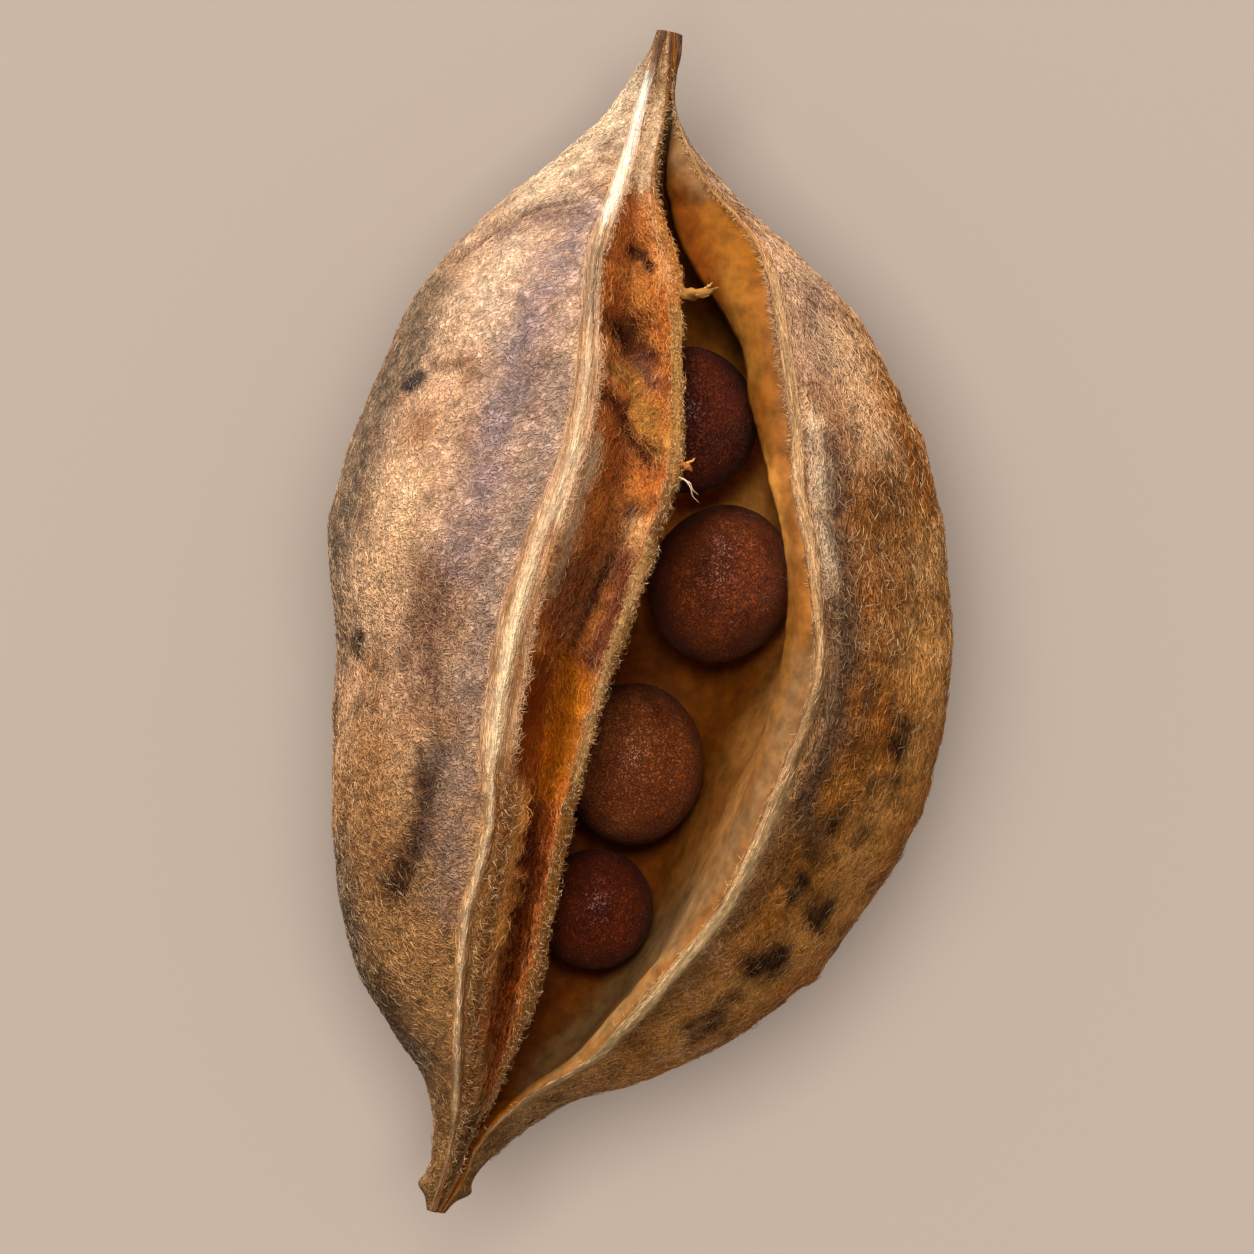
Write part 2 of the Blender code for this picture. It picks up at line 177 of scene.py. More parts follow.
class Guide:
    """A size that changes along the pod: a smooth curve through a value at each of some places."""

    def __init__(self, pairs: str | Sequence[tuple[float, float]]) -> None:
        """Works out the slope at each point, weighed from both neighbouring spans.

        Args:
            pairs: Places with their values, as pairs or as words such as "-50:0.2 50:0.1".
        """
        if isinstance(pairs, str):
            pairs = [pair.split(":") for pair in pairs.split()]
        self.place, self.value = np.array(pairs, float).T
        step = np.diff(self.place)
        rise = np.diff(self.value) / step
        inner = (step[1:] * rise[:-1] + step[:-1] * rise[1:]) / (step[1:] + step[:-1])
        self.slope = np.concatenate([rise[:1], inner, rise[-1:]])

    def at(self, along: Array) -> Array:
        """Value at each place along the pod: one cubic for each span.

        Args:
            along: Places along the pod, in millimetres.

        Returns:
            The curve's value at each of them.
        """
        span = np.clip(np.searchsorted(self.place, along) - 1, 0, len(self.place) - 2)
        step = self.place[span + 1] - self.place[span]
        t = (along - self.place[span]) / step
        a, b = self.value[span], self.value[span + 1]
        ma, mb = self.slope[span] * step, self.slope[span + 1] * step
        return a + t * ma + t**2 * (3 * (b - a) - 2 * ma - mb) + t**3 * (2 * (a - b) + ma + mb)


class Zone(Enum):
    """What the surface is, for its relief, its colours, its finish and its fibres."""

    SKIN = 0
    RIM = 1
    LINING = 2
    FURROW = 3
    RIGHT_SKIN = 4


class Stretch(Enum):
    """The stretches of a section in order: order, zone, and number of points."""

    SKIN_LEFT = (0, Zone.SKIN, 44)
    BACK_LEFT = (1, Zone.SKIN, 14)
    BACK_RIGHT = (2, Zone.RIGHT_SKIN, 16)
    SKIN_RIGHT = (3, Zone.RIGHT_SKIN, 36)
    RIGHT_RIM = (4, Zone.RIM, 12)
    LIP = (5, Zone.LINING, 12)
    WALL_RIGHT = (6, Zone.LINING, 12)
    FLOOR_RIGHT = (7, Zone.LINING, 14)
    FLOOR_LEFT = (8, Zone.LINING, 8)
    WALL_LEFT = (9, Zone.LINING, 8)
    SEPTUM_FACE = (10, Zone.LINING, 6)
    SEPTUM_EDGE = (11, Zone.RIM, 8)
    FURROW_RIGHT = (12, Zone.FURROW, 20)
    FURROW_LEFT = (13, Zone.FURROW, 14)
    LEFT_RIM = (14, Zone.RIM, 18)

    def steps(self) -> Array:
        """Even shares from 0 up to, but not including, 1."""
        return (np.arange(self.value[2]) / self.value[2])[None, :]


@dataclass(frozen=True)
class HuskShape:
    """Guide curves and sizes of the husk, the same as those of its solid."""

    left_outline: Guide = Guide("""
        -50:-0.6 -48.9:-1 -48:-1.7 -47:-1.2 -44:-1.2 -41.5:-1.8 -39:-3.2 -36:-6.2 -32:-9.8 -28:-12 -22:-13.8
        -16:-15.2 -11:-16.3 -5:-17.1 0:-18.6 4:-19.6 8:-19.5 14:-18.7 20:-17.5 25:-15.9 30:-13.3 34:-10.4
        38:-7.1 42:-4 46:-2.2 48.6:-1.2 50:-1""")
    right_outline: Guide = Guide("""
        -50:1 -48.9:1.7 -48:2.8 -47.3:2.7 -44:4.4 -41:7 -38.5:10 -36.5:14 -33:19.3 -30:22.6 -25:26.9
        -20:29.4 -17:30.6 -14.5:32 -11:32.9 -4:33.5 0:33.6 5:32.9 10:31.6 15:29.9 20:27.5 25:24 30:19.4
        34:13.9 37:8.8 40:5 43:2.3 45.5:1.35 48.5:1.4 50:1.2""")
    front_depth: Guide = Guide("""
        -50:1 -47:1.8 -44:2.4 -40:4.6 -36:7.8 -30:11.8 -24:14.4 -16:16.8 -8:18.2 0:18.5 8:18.1 16:16.9
        24:14.5 30:11.6 36:7.6 40:4.6 44:2.4 47:1.6 50:1.2""")
    back_depth: Guide = Guide("""
        -50:1 -47:1.8 -44:2.5 -40:4.8 -36:8.2 -30:12.4 -24:15.2 -16:17.3 -8:17.9 0:17.95 8:17.8 16:16.9
        24:14.6 30:11.8 36:7.8 40:4.8 44:2.5 47:1.6 50:1.2""")
    front_apex: Guide = Guide("-50:0.2 -44:1.3 -36:2.4 -20:4.2 0:4.6 20:3.8 34:1.6 44:0.2 50:0.1")
    left_rim_outer: Guide = Guide("""
        -50:-0.3 -46:0.2 -41.5:0.1 -37.5:-0.5 -33:-1 -29:-1.4 -25:-1.8 -19:-1.5 -15.5:-1.7 -13.5:-2.3
        -11:-2.9 -6:-3.2 -1:-3.4 4:-2.8 8:-2.2 12:-1.3 16:-1 20:-1.1 24:-1.6 28:-2.1 31:-2.4 34:-2.2 38:-1.7
        44:-1.4 48:-0.9 50:-0.6""")
    left_rim_inner: Guide = Guide("""
        -50:0.1 -44:1 -39.5:1.4 -35:1 -31:0.6 -25:0.3 -17.5:0.3 -14:-0.1 -11:-0.3 -8:-0.7 -4:-0.7 0:-1.1
        4:-0.7 8:-0.3 12:0.1 17:0.3 21:0 24:-0.5 27.5:-1.2 31:-1.3 34:-1 37.5:-0.5 44:-0.6 48:-0.3 50:-0.2""")
    septum_edge: Guide = Guide("""
        -50:0.6 -47:1.5 -44:1.9 -41.5:2.4 -39.5:3.2 -37:3.7 -33.5:4.4 -29:5 -25:5.1 -19:4.9 -13:5.1 -6:5.6
        0:6.3 6:7.2 10:7.75 13.5:8 17.5:7.5 22:6.6 27:5.6 29.5:5.1 31.5:4.2 33.5:3 35.5:2 38:1.4 42:1.2
        46:0.9 50:0.3""")
    septum_drop: Guide = Guide("""
        -50:0.1 -44:0.2 -38:0.8 -30:1.8 -10:2.3 10:2 24:1.5 32:0.9 37:0.3 44:0.1 50:0.1""")
    furrow_depth: Guide = Guide("""
        -50:0.1 -44:0.25 -41:0.6 -39:2 -36:5 -31:7.5 -24:8.5 -18:7.4 -14.5:6 -9:7.8 -4:6.6 -1:5.4 4:6.2
        9:5.2 14:4.6 17.5:3.4 20.5:4.2 24:6.4 27:4 30:3.6 32:3.2 34.5:1.8 36.5:0.5 39:0.2 50:0.1""")
    furrow_floor_share: Guide = Guide("-50:0.5 -38:0.66 -20:0.64 -13:0.5 -6:0.36 4:0.45 24:0.4 50:0.5")
    right_rim: Guide = Guide("""
        -50:0.8 -47:2 -44:2.6 -41:4.2 -38.5:6.3 -36.5:8.4 -34.5:10.4 -32:12 -29.5:13.5 -24.5:16.2 -19.5:18.5
        -14.5:19.8 -9.5:20.8 -4.5:21.8 -1:22.2 2:21.9 5:21.1 10:19.5 14.5:17.7 19.5:16.4 24.5:14.7 29.5:13
        31.5:12.1 33.5:10.9 35.5:8.8 37.5:6.1 39.5:4.3 42:2.7 44.5:1.55 47:1.2 50:0.5""")
    right_ridge: Guide = Guide("""
        -50:0.05 -44:0.2 -36:0.6 -20:0.8 -4:0.8 6:0.55 14:0.4 26:0.4 34:0.45 40:0.3 45:0.05 50:0.05""")
    lip_width: Guide = Guide("""
        -50:0.05 -44:0.2 -36:0.9 -20:1.2 -12:1.6 -4:2.4 1:2.4 5:1.8 10:1.5 15:1.9 20:2.8 25:3 28:4.4 31:6.2
        33.5:6.6 36:5 38:3.2 41:1.4 44:0.3 50:0.05""")
    lip_depth: Guide = Guide("-50:0.1 -44:0.4 -36:1.6 -20:2.2 0:3 14:2.4 30:4.2 36:3.2 41:1.4 50:0.1")
    chamber_right: Guide = Guide("""
        -50:0.7 -46:2.4 -42:4.2 -38:7 -32:11.4 -23:15 -10:18 0:20.8 6:21.6 12:20.2 19:17.4 26:14.4 32:11.6
        37:7.4 41:3.9 46:1.2 50:0.5""")
    chamber_right_level: Guide = Guide("""
        -50:17.5 -40:17.5 -30:19.5 -20:22.5 -10:22 -2:18.5 5:14.5 12:13.9 32:13.9 42:16.5 50:17.5""")
    chamber_floor: Guide = Guide("-50:0.6 -42:3 -34:5.6 -23:8 -10:9.4 6:12 19:9 30:6.6 38:3.4 50:0.4")
    openness: Guide = Guide("""
        -50:0 -47.5:0.04 -44:0.25 -41.5:0.6 -39:0.95 -37:1 37:1 40:0.95 42:0.7 44:0.3 46:0.03 50:0""")
    groove_depth: Guide = Guide("-50:0.12 -47:0.5 -43:1 -38:1.2 38:1 42:0.9 45:0.35 48:0.12 50:0.1")
    rim_groove: Guide = Guide("-50:0.5 -30:0.6 -20:0.55 -10:0.34 0:0.24 10:0.2 50:0.2")
    swellings: tuple[tuple[float, float, float, float], ...] = (
        (7, -13, 9, 0.7), (-9, -13, 6, -0.5), (-19, -9, 8, 0.6), (24, -9, 8, 0.5), (36, -4, 4, -0.4),
        (-3, 27, 9, 0.5), (-17, 28, 5, -0.6), (20, 22, 7, 0.5), (-30, 17, 7, -0.4), (12, 25, 5, -0.4),
    )
    rim_foot: float = 0.6
    right_edge_round: float = 0.6
    septum_edge_width: float = 1.1
    septum_lean: float = 0.9
    floor_share: float = 0.66
    chamber_reach_left: float = 5.6
    chamber_equator: float = 3.6
    full_room_depth: float = 13.0
    furrow_sharpness: float = 1.5
    stations: int = 400
    tip_crowding: float = 0.3

    def middle_across(self) -> float:
        """Place across the pod, halfway between its widest points."""
        along = np.linspace(-LENGTH / 2, LENGTH / 2, 401)
        return float(self.left_outline.at(along).min() + self.right_outline.at(along).max()) / 2

    def station_places(self) -> Array:
        """Places of the sections along the pod, closer together near both tips.

        Returns:
            Places in millimetres, from one tip to the other.
        """
        t = np.linspace(0, 1, self.stations)
        even, crowded = t - 0.5, -0.5 * np.cos(math.pi * t)
        return LENGTH * ((1 - self.tip_crowding) * even + self.tip_crowding * crowded)


SHAPE = HuskShape()
MIDDLE_ACROSS = SHAPE.middle_across()


class Sections:
    """Every section of the husk at once, one row for each station and one column for each point."""

    def __init__(self, along: Array) -> None:
        """Reads every guide at the stations, roughens the torn edges and places the rims' feet.

        Args:
            along: Place of each station along the pod.
        """
        self.along = along[:, None]
        self.guide = guide = SimpleNamespace(**{
            name: value.at(self.along) for name, value in vars(SHAPE).items() if isinstance(value, Guide)})
        self.room = np.clip(guide.back_depth / SHAPE.full_room_depth, 0, 1)
        self.rim_outer = guide.left_rim_outer + self.torn(0.06, 2.2, 11)
        self.rim_inner = guide.left_rim_inner + self.torn(0.12, 1.3, 12)
        self.right_rim = guide.right_rim + self.torn(0.07, 1.8, 13)
        self.edge = guide.septum_edge + self.torn(0.2, 1.2, 14)
        self.left_foot = self.rim_outer - SHAPE.rim_foot * self.room
        self.right_foot = self.right_rim + SHAPE.rim_foot * self.room
        self.right_inner = self.right_rim - SHAPE.right_edge_round * self.room
        self.edge_width = SHAPE.septum_edge_width * np.clip(self.room, 0.25, 1)
        self.edge_height = self.skin_height(self.edge) - guide.septum_drop

    def torn(self, depth: float, spacing: float, seed: int) -> Array:
        """How far a torn edge wanders to either side, by noise along the pod.

        Args:
            depth: Size of the wander, in millimetres.
            spacing: Size of its largest bends.
            seed: Which random wander.

        Returns:
            An offset across for each station.
        """
        line = np.concatenate([np.zeros_like(self.along), self.along, np.full_like(self.along, seed)], axis=1)
        fine = layered_noise(line, spacing, seed) + 0.5 * noise(line, spacing / 3.1, seed + 7)
        return depth * fine[:, None] * self.room

    def skin_height(self, x: Array) -> Array:
        """Height of the front skin over a place across: a quarter ellipse each side of the apex.

        Args:
            x: Places across, one row for each station.

        Returns:
            A height for each place.
        """
        guide = self.guide
        apex = guide.front_apex
        reach = np.where(x < apex, apex - guide.left_outline, guide.right_outline - apex)
        share = np.clip((x - apex) / reach, -1, 1)
        return WIDEST_HEIGHT + guide.front_depth * np.sqrt(1 - share**2)

    def skin_front(self, foot: Array, outline: Array, t: Array) -> Pair:
        """Front skin from a rim's foot (t = 0) round to an outline (t = 1).

        Args:
            foot: Place across of the rim's foot.
            outline: Place across of the outline.
            t: Shares of the way from foot to outline.

        Returns:
            Places across and heights, one row for each station.
        """
        apex = self.guide.front_apex
        reach = outline - apex
        first = np.arcsin(np.clip((foot - apex) / reach, -1, 1))
        turn = first + (math.pi / 2 - first) * t
        return apex + reach * np.sin(turn), WIDEST_HEIGHT + self.guide.front_depth * np.cos(turn)

    def skin_back(self, outline: Array, t: Array) -> Pair:
        """Back skin from an outline (t = 0) down to the line under the pod (t = 1).

        Args:
            outline: Place across of the outline.
            t: Shares of the way down.

        Returns:
            Places across and heights, one row for each station.
        """
        middle = (self.guide.left_outline + self.guide.right_outline) / 2
        turn = t * math.pi / 2
        z = WIDEST_HEIGHT - self.guide.back_depth * np.sin(turn)
        return middle + (outline - middle) * np.cos(turn), z

    def swollen(self, x: Array, z: Array) -> Pair:
        """Skin points moved out from the pod's core by its swellings and hollows.

        Args:
            x: Places across.
            z: Heights.

        Returns:
            Places across and heights, one row for each station.
        """
        push = sum(
            height * np.exp(-((self.along - y0) ** 2 + (x - x0) ** 2) / radius**2)
            for y0, x0, radius, height in SHAPE.swellings
        ) * np.clip((z - WIDEST_HEIGHT) / 6, 0, 1)
        out_x, out_z = x - self.guide.front_apex, z - WIDEST_HEIGHT
        away = np.hypot(out_x, out_z)
        return x + push * out_x / away, z + push * out_z / away

    def skin(self) -> list[Pair]:
        """Outer skin from the left rim round the back to the right rim.

        Returns:
            The four stretches of skin in order.
        """
        left, right = self.guide.left_outline, self.guide.right_outline
        return [self.swollen(x, z) for x, z in (
            self.skin_front(self.left_foot, left, Stretch.SKIN_LEFT.steps()),
            self.skin_back(left, Stretch.BACK_LEFT.steps()),
            self.skin_back(right, 1 - Stretch.BACK_RIGHT.steps()),
            self.skin_front(self.right_foot, right, 1 - Stretch.SKIN_RIGHT.steps()),
        )]

    def right_rim_band(self) -> Pair:
        """Right rim: a rounded ridge from its outer foot to its inner edge.

        Returns:
            Places across and heights, one row for each station.
        """
        t = Stretch.RIGHT_RIM.steps()
        x = self.right_foot + (self.right_inner - self.right_foot) * t
        return x, self.skin_height(x) + self.guide.right_ridge * np.sin(math.pi * (0.08 + 0.72 * t))

    def chamber(self) -> Pair:
        """Seed chamber: inner lip, right wall, floor, and left wall up to the septum.

        Returns:
            Places across and heights, one row for each station.
        """
        guide, start, edge_z = self.guide, self.right_inner, self.edge_height
        start_z = self.skin_height(start)
        lip_x, lip_z = start - guide.lip_width, start_z - guide.lip_depth
        floor = WIDEST_HEIGHT - guide.back_depth * SHAPE.floor_share
        level = WIDEST_HEIGHT - SHAPE.chamber_equator * self.room
        right, shelf, bottom = guide.chamber_right, guide.chamber_right_level, guide.chamber_floor
        left = self.edge - SHAPE.chamber_reach_left * self.room
        root_x, root_z = self.edge - SHAPE.septum_lean * self.room, edge_z - 0.62 * (edge_z - level)
        lip, wall, face = (s.steps() for s in (Stretch.LIP, Stretch.WALL_RIGHT, Stretch.SEPTUM_FACE))
        a, b, c = (s.steps() * math.pi / 2
                   for s in (Stretch.FLOOR_RIGHT, Stretch.FLOOR_LEFT, Stretch.WALL_LEFT))
        x, z = side_by_side([
            (bend(lip, start, (start + lip_x) / 2, lip_x),
             bend(lip, start_z, start_z - 0.2 * self.room, lip_z)),
            (bend(wall, lip_x, right, right), bend(wall, lip_z, lip_z - 0.4 * (lip_z - shelf), shelf)),
            (bottom + (right - bottom) * np.cos(a), shelf - (shelf - floor) * np.sin(a)),
            (bottom + (left - bottom) * np.sin(b), level - (level - floor) * np.cos(b)),
            (root_x + (left - root_x) * np.cos(c), level + (root_z - level) * np.sin(c)),
            (root_x + (self.edge - root_x) * face**2, root_z + (edge_z - root_z) * face),
        ])
        return self.narrowed(x, z, start, start_z)

    def narrowed(self, x: Array, z: Array, start: Array, start_z: Array) -> Pair:
        """The chamber closing to a shallow groove between rim and septum towards both tips.

        Args:
            x: Places across of the open chamber.
            z: Its heights.
            start: Place across where the chamber starts.
            start_z: Height there.

        Returns:
            Places across and heights, one row for each station.
        """
        share = (np.arange(x.shape[1]) / x.shape[1])[None, :]
        groove_x = start + (self.edge - start) * share
        sag = self.guide.groove_depth * 4 * share * (1 - share)
        groove_z = start_z + (self.edge_height - start_z) * share - sag
        open_share = np.clip(self.guide.openness, 0, 1)
        return groove_x + (x - groove_x) * open_share, groove_z + (z - groove_z) * open_share

    def septum_edge(self) -> Pair:
        """Rounded edge of the septum, from its chamber side to its furrow side."""
        t = Stretch.SEPTUM_EDGE.steps()
        return self.edge - self.edge_width * t, self.edge_height + 0.3 * self.room * np.sin(math.pi * t)

    def furrow(self) -> list[Pair]:
        """Furrow between septum and left rim: two quarter ellipses, drawn in towards a V.

        Returns:
            Its stretch from the septum down and its stretch up to the rim.
        """
        right, right_z = self.edge - self.edge_width, self.edge_height
        left, left_z = self.rim_inner, self.skin_height(self.rim_inner)
        middle = left + (right - left) * self.guide.furrow_floor_share
        floor = np.minimum(right_z, left_z) - self.guide.furrow_depth
        near, far = (s.steps() * math.pi / 2 for s in (Stretch.FURROW_RIGHT, Stretch.FURROW_LEFT))
        power = SHAPE.furrow_sharpness
        return [
            (middle + (side - middle) * across**power, side_z - (side_z - floor) * down**power)
            for side, side_z, across, down in (
                (right, right_z, np.cos(near), np.sin(near)), (left, left_z, np.sin(far), np.cos(far)))
        ]

    def left_rim_band(self) -> Pair:
        """Left rim: a low inner ridge, a groove and a higher outer ridge.

        Returns:
            Places across and heights, one row for each station.
        """
        groove, t = self.guide.rim_groove, Stretch.LEFT_RIM.steps()
        x = self.rim_inner + (self.left_foot - self.rim_inner) * t
        ridges = 0.45 * bell(t - 0.45 * groove, 0.42 * groove)
        ridges = ridges + 0.75 * bell(t - 0.45 - 0.55 * groove, 0.38 * (1 - groove))
        return x, self.skin_height(x) + ridges * np.clip(self.room, 0.2, 1)

    def points(self) -> Array:
        """All points in millimetres, shaped stations x section points x 3.

        Returns:
            The grid of points.
        """
        x, z = side_by_side([*self.skin(), self.right_rim_band(), self.chamber(), self.septum_edge(),
                             *self.furrow(), self.left_rim_band()])
        return np.stack([x, np.broadcast_to(self.along, x.shape), z], axis=-1)


def grid_normals(points: Array) -> Array:
    """Outward normals of a grid that closes across its columns, from its two tangents.

    Args:
        points: Grid of points, rows along the pod, last axis 3.

    Returns:
        A unit vector for each point.
    """
    down = np.gradient(points, axis=0)
    around = np.roll(points, -1, axis=1) - np.roll(points, 1, axis=1)
    normals = np.cross(down, around)
    return normals / np.maximum(np.linalg.norm(normals, axis=-1, keepdims=True), 1e-9)


class HuskSurface:
    """The husk as a grid of points with relief, and what each point is."""

    def __init__(self) -> None:
        """Makes the smooth grid, then raises the relief on it."""
        sections = Sections(SHAPE.station_places())
        self.flat, self.room = sections.points(), sections.room
        self.x, self.y, self.z = np.moveaxis(self.flat, -1, 0)
        order = [stretch for stretch in Stretch for _ in range(stretch.value[2])]
        self.zone = np.array([stretch.value[1].value for stretch in order])
        self.stretch = np.array([stretch.value[0] for stretch in order])
        self.t = np.concatenate([stretch.steps()[0] for stretch in Stretch])
        self.points = self.flat + grid_normals(self.flat) * self.relief()[..., None]
        self.points[..., 2] = np.maximum(self.points[..., 2], 0.0)
        self.normals = grid_normals(self.points)

    def share_of(self, *zones: Zone) -> Array:
        """How much each column belongs to some zones, softened over its neighbours."""
        hard = np.isin(self.zone, [zone.value for zone in zones]).astype(float)
        return sum(np.roll(hard, k) * w for k, w in ((-1, 1), (0, 2), (1, 1)))[None, :] / 4

    def on(self, *stretches: Stretch) -> Array:
        """1 on the columns of some stretches, 0 elsewhere."""
        return np.isin(self.stretch, [stretch.value[0] for stretch in stretches]).astype(float)[None, :]

    def relief(self) -> Array:
        """Height of the relief over the smooth grid, in millimetres.

        Returns:
            A height for each point of the grid.
        """
        return sum(self.share_of(*zones) * relief for zones, relief in (
            ((Zone.SKIN, Zone.RIGHT_SKIN), self.skin_relief()), ((Zone.RIM,), self.rim_relief()),
            ((Zone.LINING,), self.lining_relief()), ((Zone.FURROW,), self.furrow_relief()),
        )) * np.clip(self.room, 0.3, 1)

    def skin_relief(self) -> Array:
        """Dents, fine crumpling, the wrinkles by the beak and the crease below them.

        Returns:
            A height for each point of the grid, in millimetres.
        """
        flat = self.flat
        dents = 0.3 * layered_noise(flat, 6.0, 21)
        dents = dents + 0.17 * layered_noise(turned(flat, 38, (1.8, 1.0)), 1.5, 24)
        line = ((-13.6, 27.5), (-10.5, 31.2), (-7.5, 33.4), (-4.6, 34.6))
        crease = bell(from_line(self.x, self.y, line), 0.4)
        streaks = noise(turned(flat, -8, (7.0, 1.0)), 1.1, 35) * smooth_step(12, 20, self.x)
        return dents - (0.4 * self.beak_folds() + 0.6 * crease) * (self.z > WIDEST_HEIGHT) + 0.16 * streaks

    def beak_folds(self) -> Array:
        """Slanting wrinkles of the skin below the beak, on its left side: 1 in their valleys.

        Returns:
            A share for each point of the grid.
        """
        wide = bell(noise(turned(self.flat, 52, (5.0, 1.0)), 0.8, 31), 0.16)
        fine = bell(noise(turned(self.flat, 46, (4.0, 1.0)), 0.5, 33), 0.2)
        return (0.7 * wide + 0.5 * fine) * bell((self.x + 5.5) / 7, 1) * bell((self.y - 40) / 6.5, 1)

    def lengthwise(self) -> Array:
        """Places measured across from the rim or edge they lie on, squeezed along it, for its streaks.

        Returns:
            Points on which noise can be read.
        """
        middle = sum(self.on(stretch) * guide.at(self.y[:, :1]) for stretch, guide in (
            (Stretch.LEFT_RIM, SHAPE.left_rim_inner), (Stretch.RIGHT_RIM, SHAPE.right_rim),
            (Stretch.SEPTUM_EDGE, SHAPE.septum_edge)))
        return np.stack([self.x - middle, self.y / 14, np.zeros_like(self.x)], axis=-1)

    def rim_relief(self) -> Array:
        """Long fibres of the rims as fine ridges along the pod."""
        return 0.12 * noise(self.lengthwise(), 0.35, 41) + 0.07 * layered_noise(self.flat, 1.5, 42)

    def lining_relief(self) -> Array:
        """Soft long folds of the papery lining, and a faint crumpling."""
        folds = layered_noise(turned(self.flat, 6, (3.0, 1.0)), 3.2, 51)
        return 0.3 * folds + 0.06 * layered_noise(self.flat, 1.1, 55)

    def furrow_relief(self) -> Array:
        """Matted lumps, calm in the glassy hollow, with a step and two pits in the upper part.

        Returns:
            A height for each point of the grid, in millimetres.
        """
        x, y = self.x, self.y
        calm = bell(y + 8.5, 5.0)
        lumps = layered_noise(turned(self.flat, 10, (1.7, 1.0)), 1.9, 61)
        step = bell(from_line(x, y, ((-0.4, 20.2), (2.2, 18.6), (5.6, 16.0))), 0.7)
        pits = bell(np.hypot(x - 2.3, (y - 24.3) / 1.3), 1.3) + 0.7 * bell(np.hypot(x - 1.4, y - 31.2), 0.8)
        tufts = bell(from_line(x, y, ((0.0, -13.5), (0.9, -20), (0.9, -28))), 0.9)
        tufts = tufts * (0.6 + noise(turned(self.flat, 100, (1.6, 1.0)), 1.0, 66))
        return (0.65 - 0.6 * calm) * lumps + 0.7 * step - 0.9 * pits + 0.8 * tufts


@dataclass(frozen=True)
class ColourPatch:
    """A coloured patch: a bell over a broken line, with a wandering edge."""

    colour: str
    line: Sequence[tuple[float, ...]]
    width: float
    strength: float = 0.8
    wander: float = 1.0
    edge: float = 2.0

    @classmethod
    def read(cls, row: str) -> ColourPatch:
        """Reads a stain.

        Args:
            row: Words for its colour, its numbers in the fields' order and the points of its line.

        Returns:
            The stain.
        """
        colour, *words = row.split()
        line = [tuple(map(float, word.split(","))) for word in words if "," in word]
        return cls(colour, line, *(float(word) for word in words if "," not in word))

    def cover(self, x: Array, y: Array, drift: tuple[Array, ...]) -> Array:
        """How much of the patch's colour each place takes, from 0 to 1.

        Args:
            x: Places across.
            y: Places along.
            drift: Noise that moves the edge across and along, and noise that frays it.

        Returns:
            A share for each place.
        """
        far = from_line(x + drift[0] * self.wander, y + drift[1] * self.wander, self.line)
        ragged = np.clip(1.1 + 1.3 * self.wander * drift[2], 0, 1.15)
        return self.strength * np.exp(-((far / self.width) ** self.edge)) * ragged
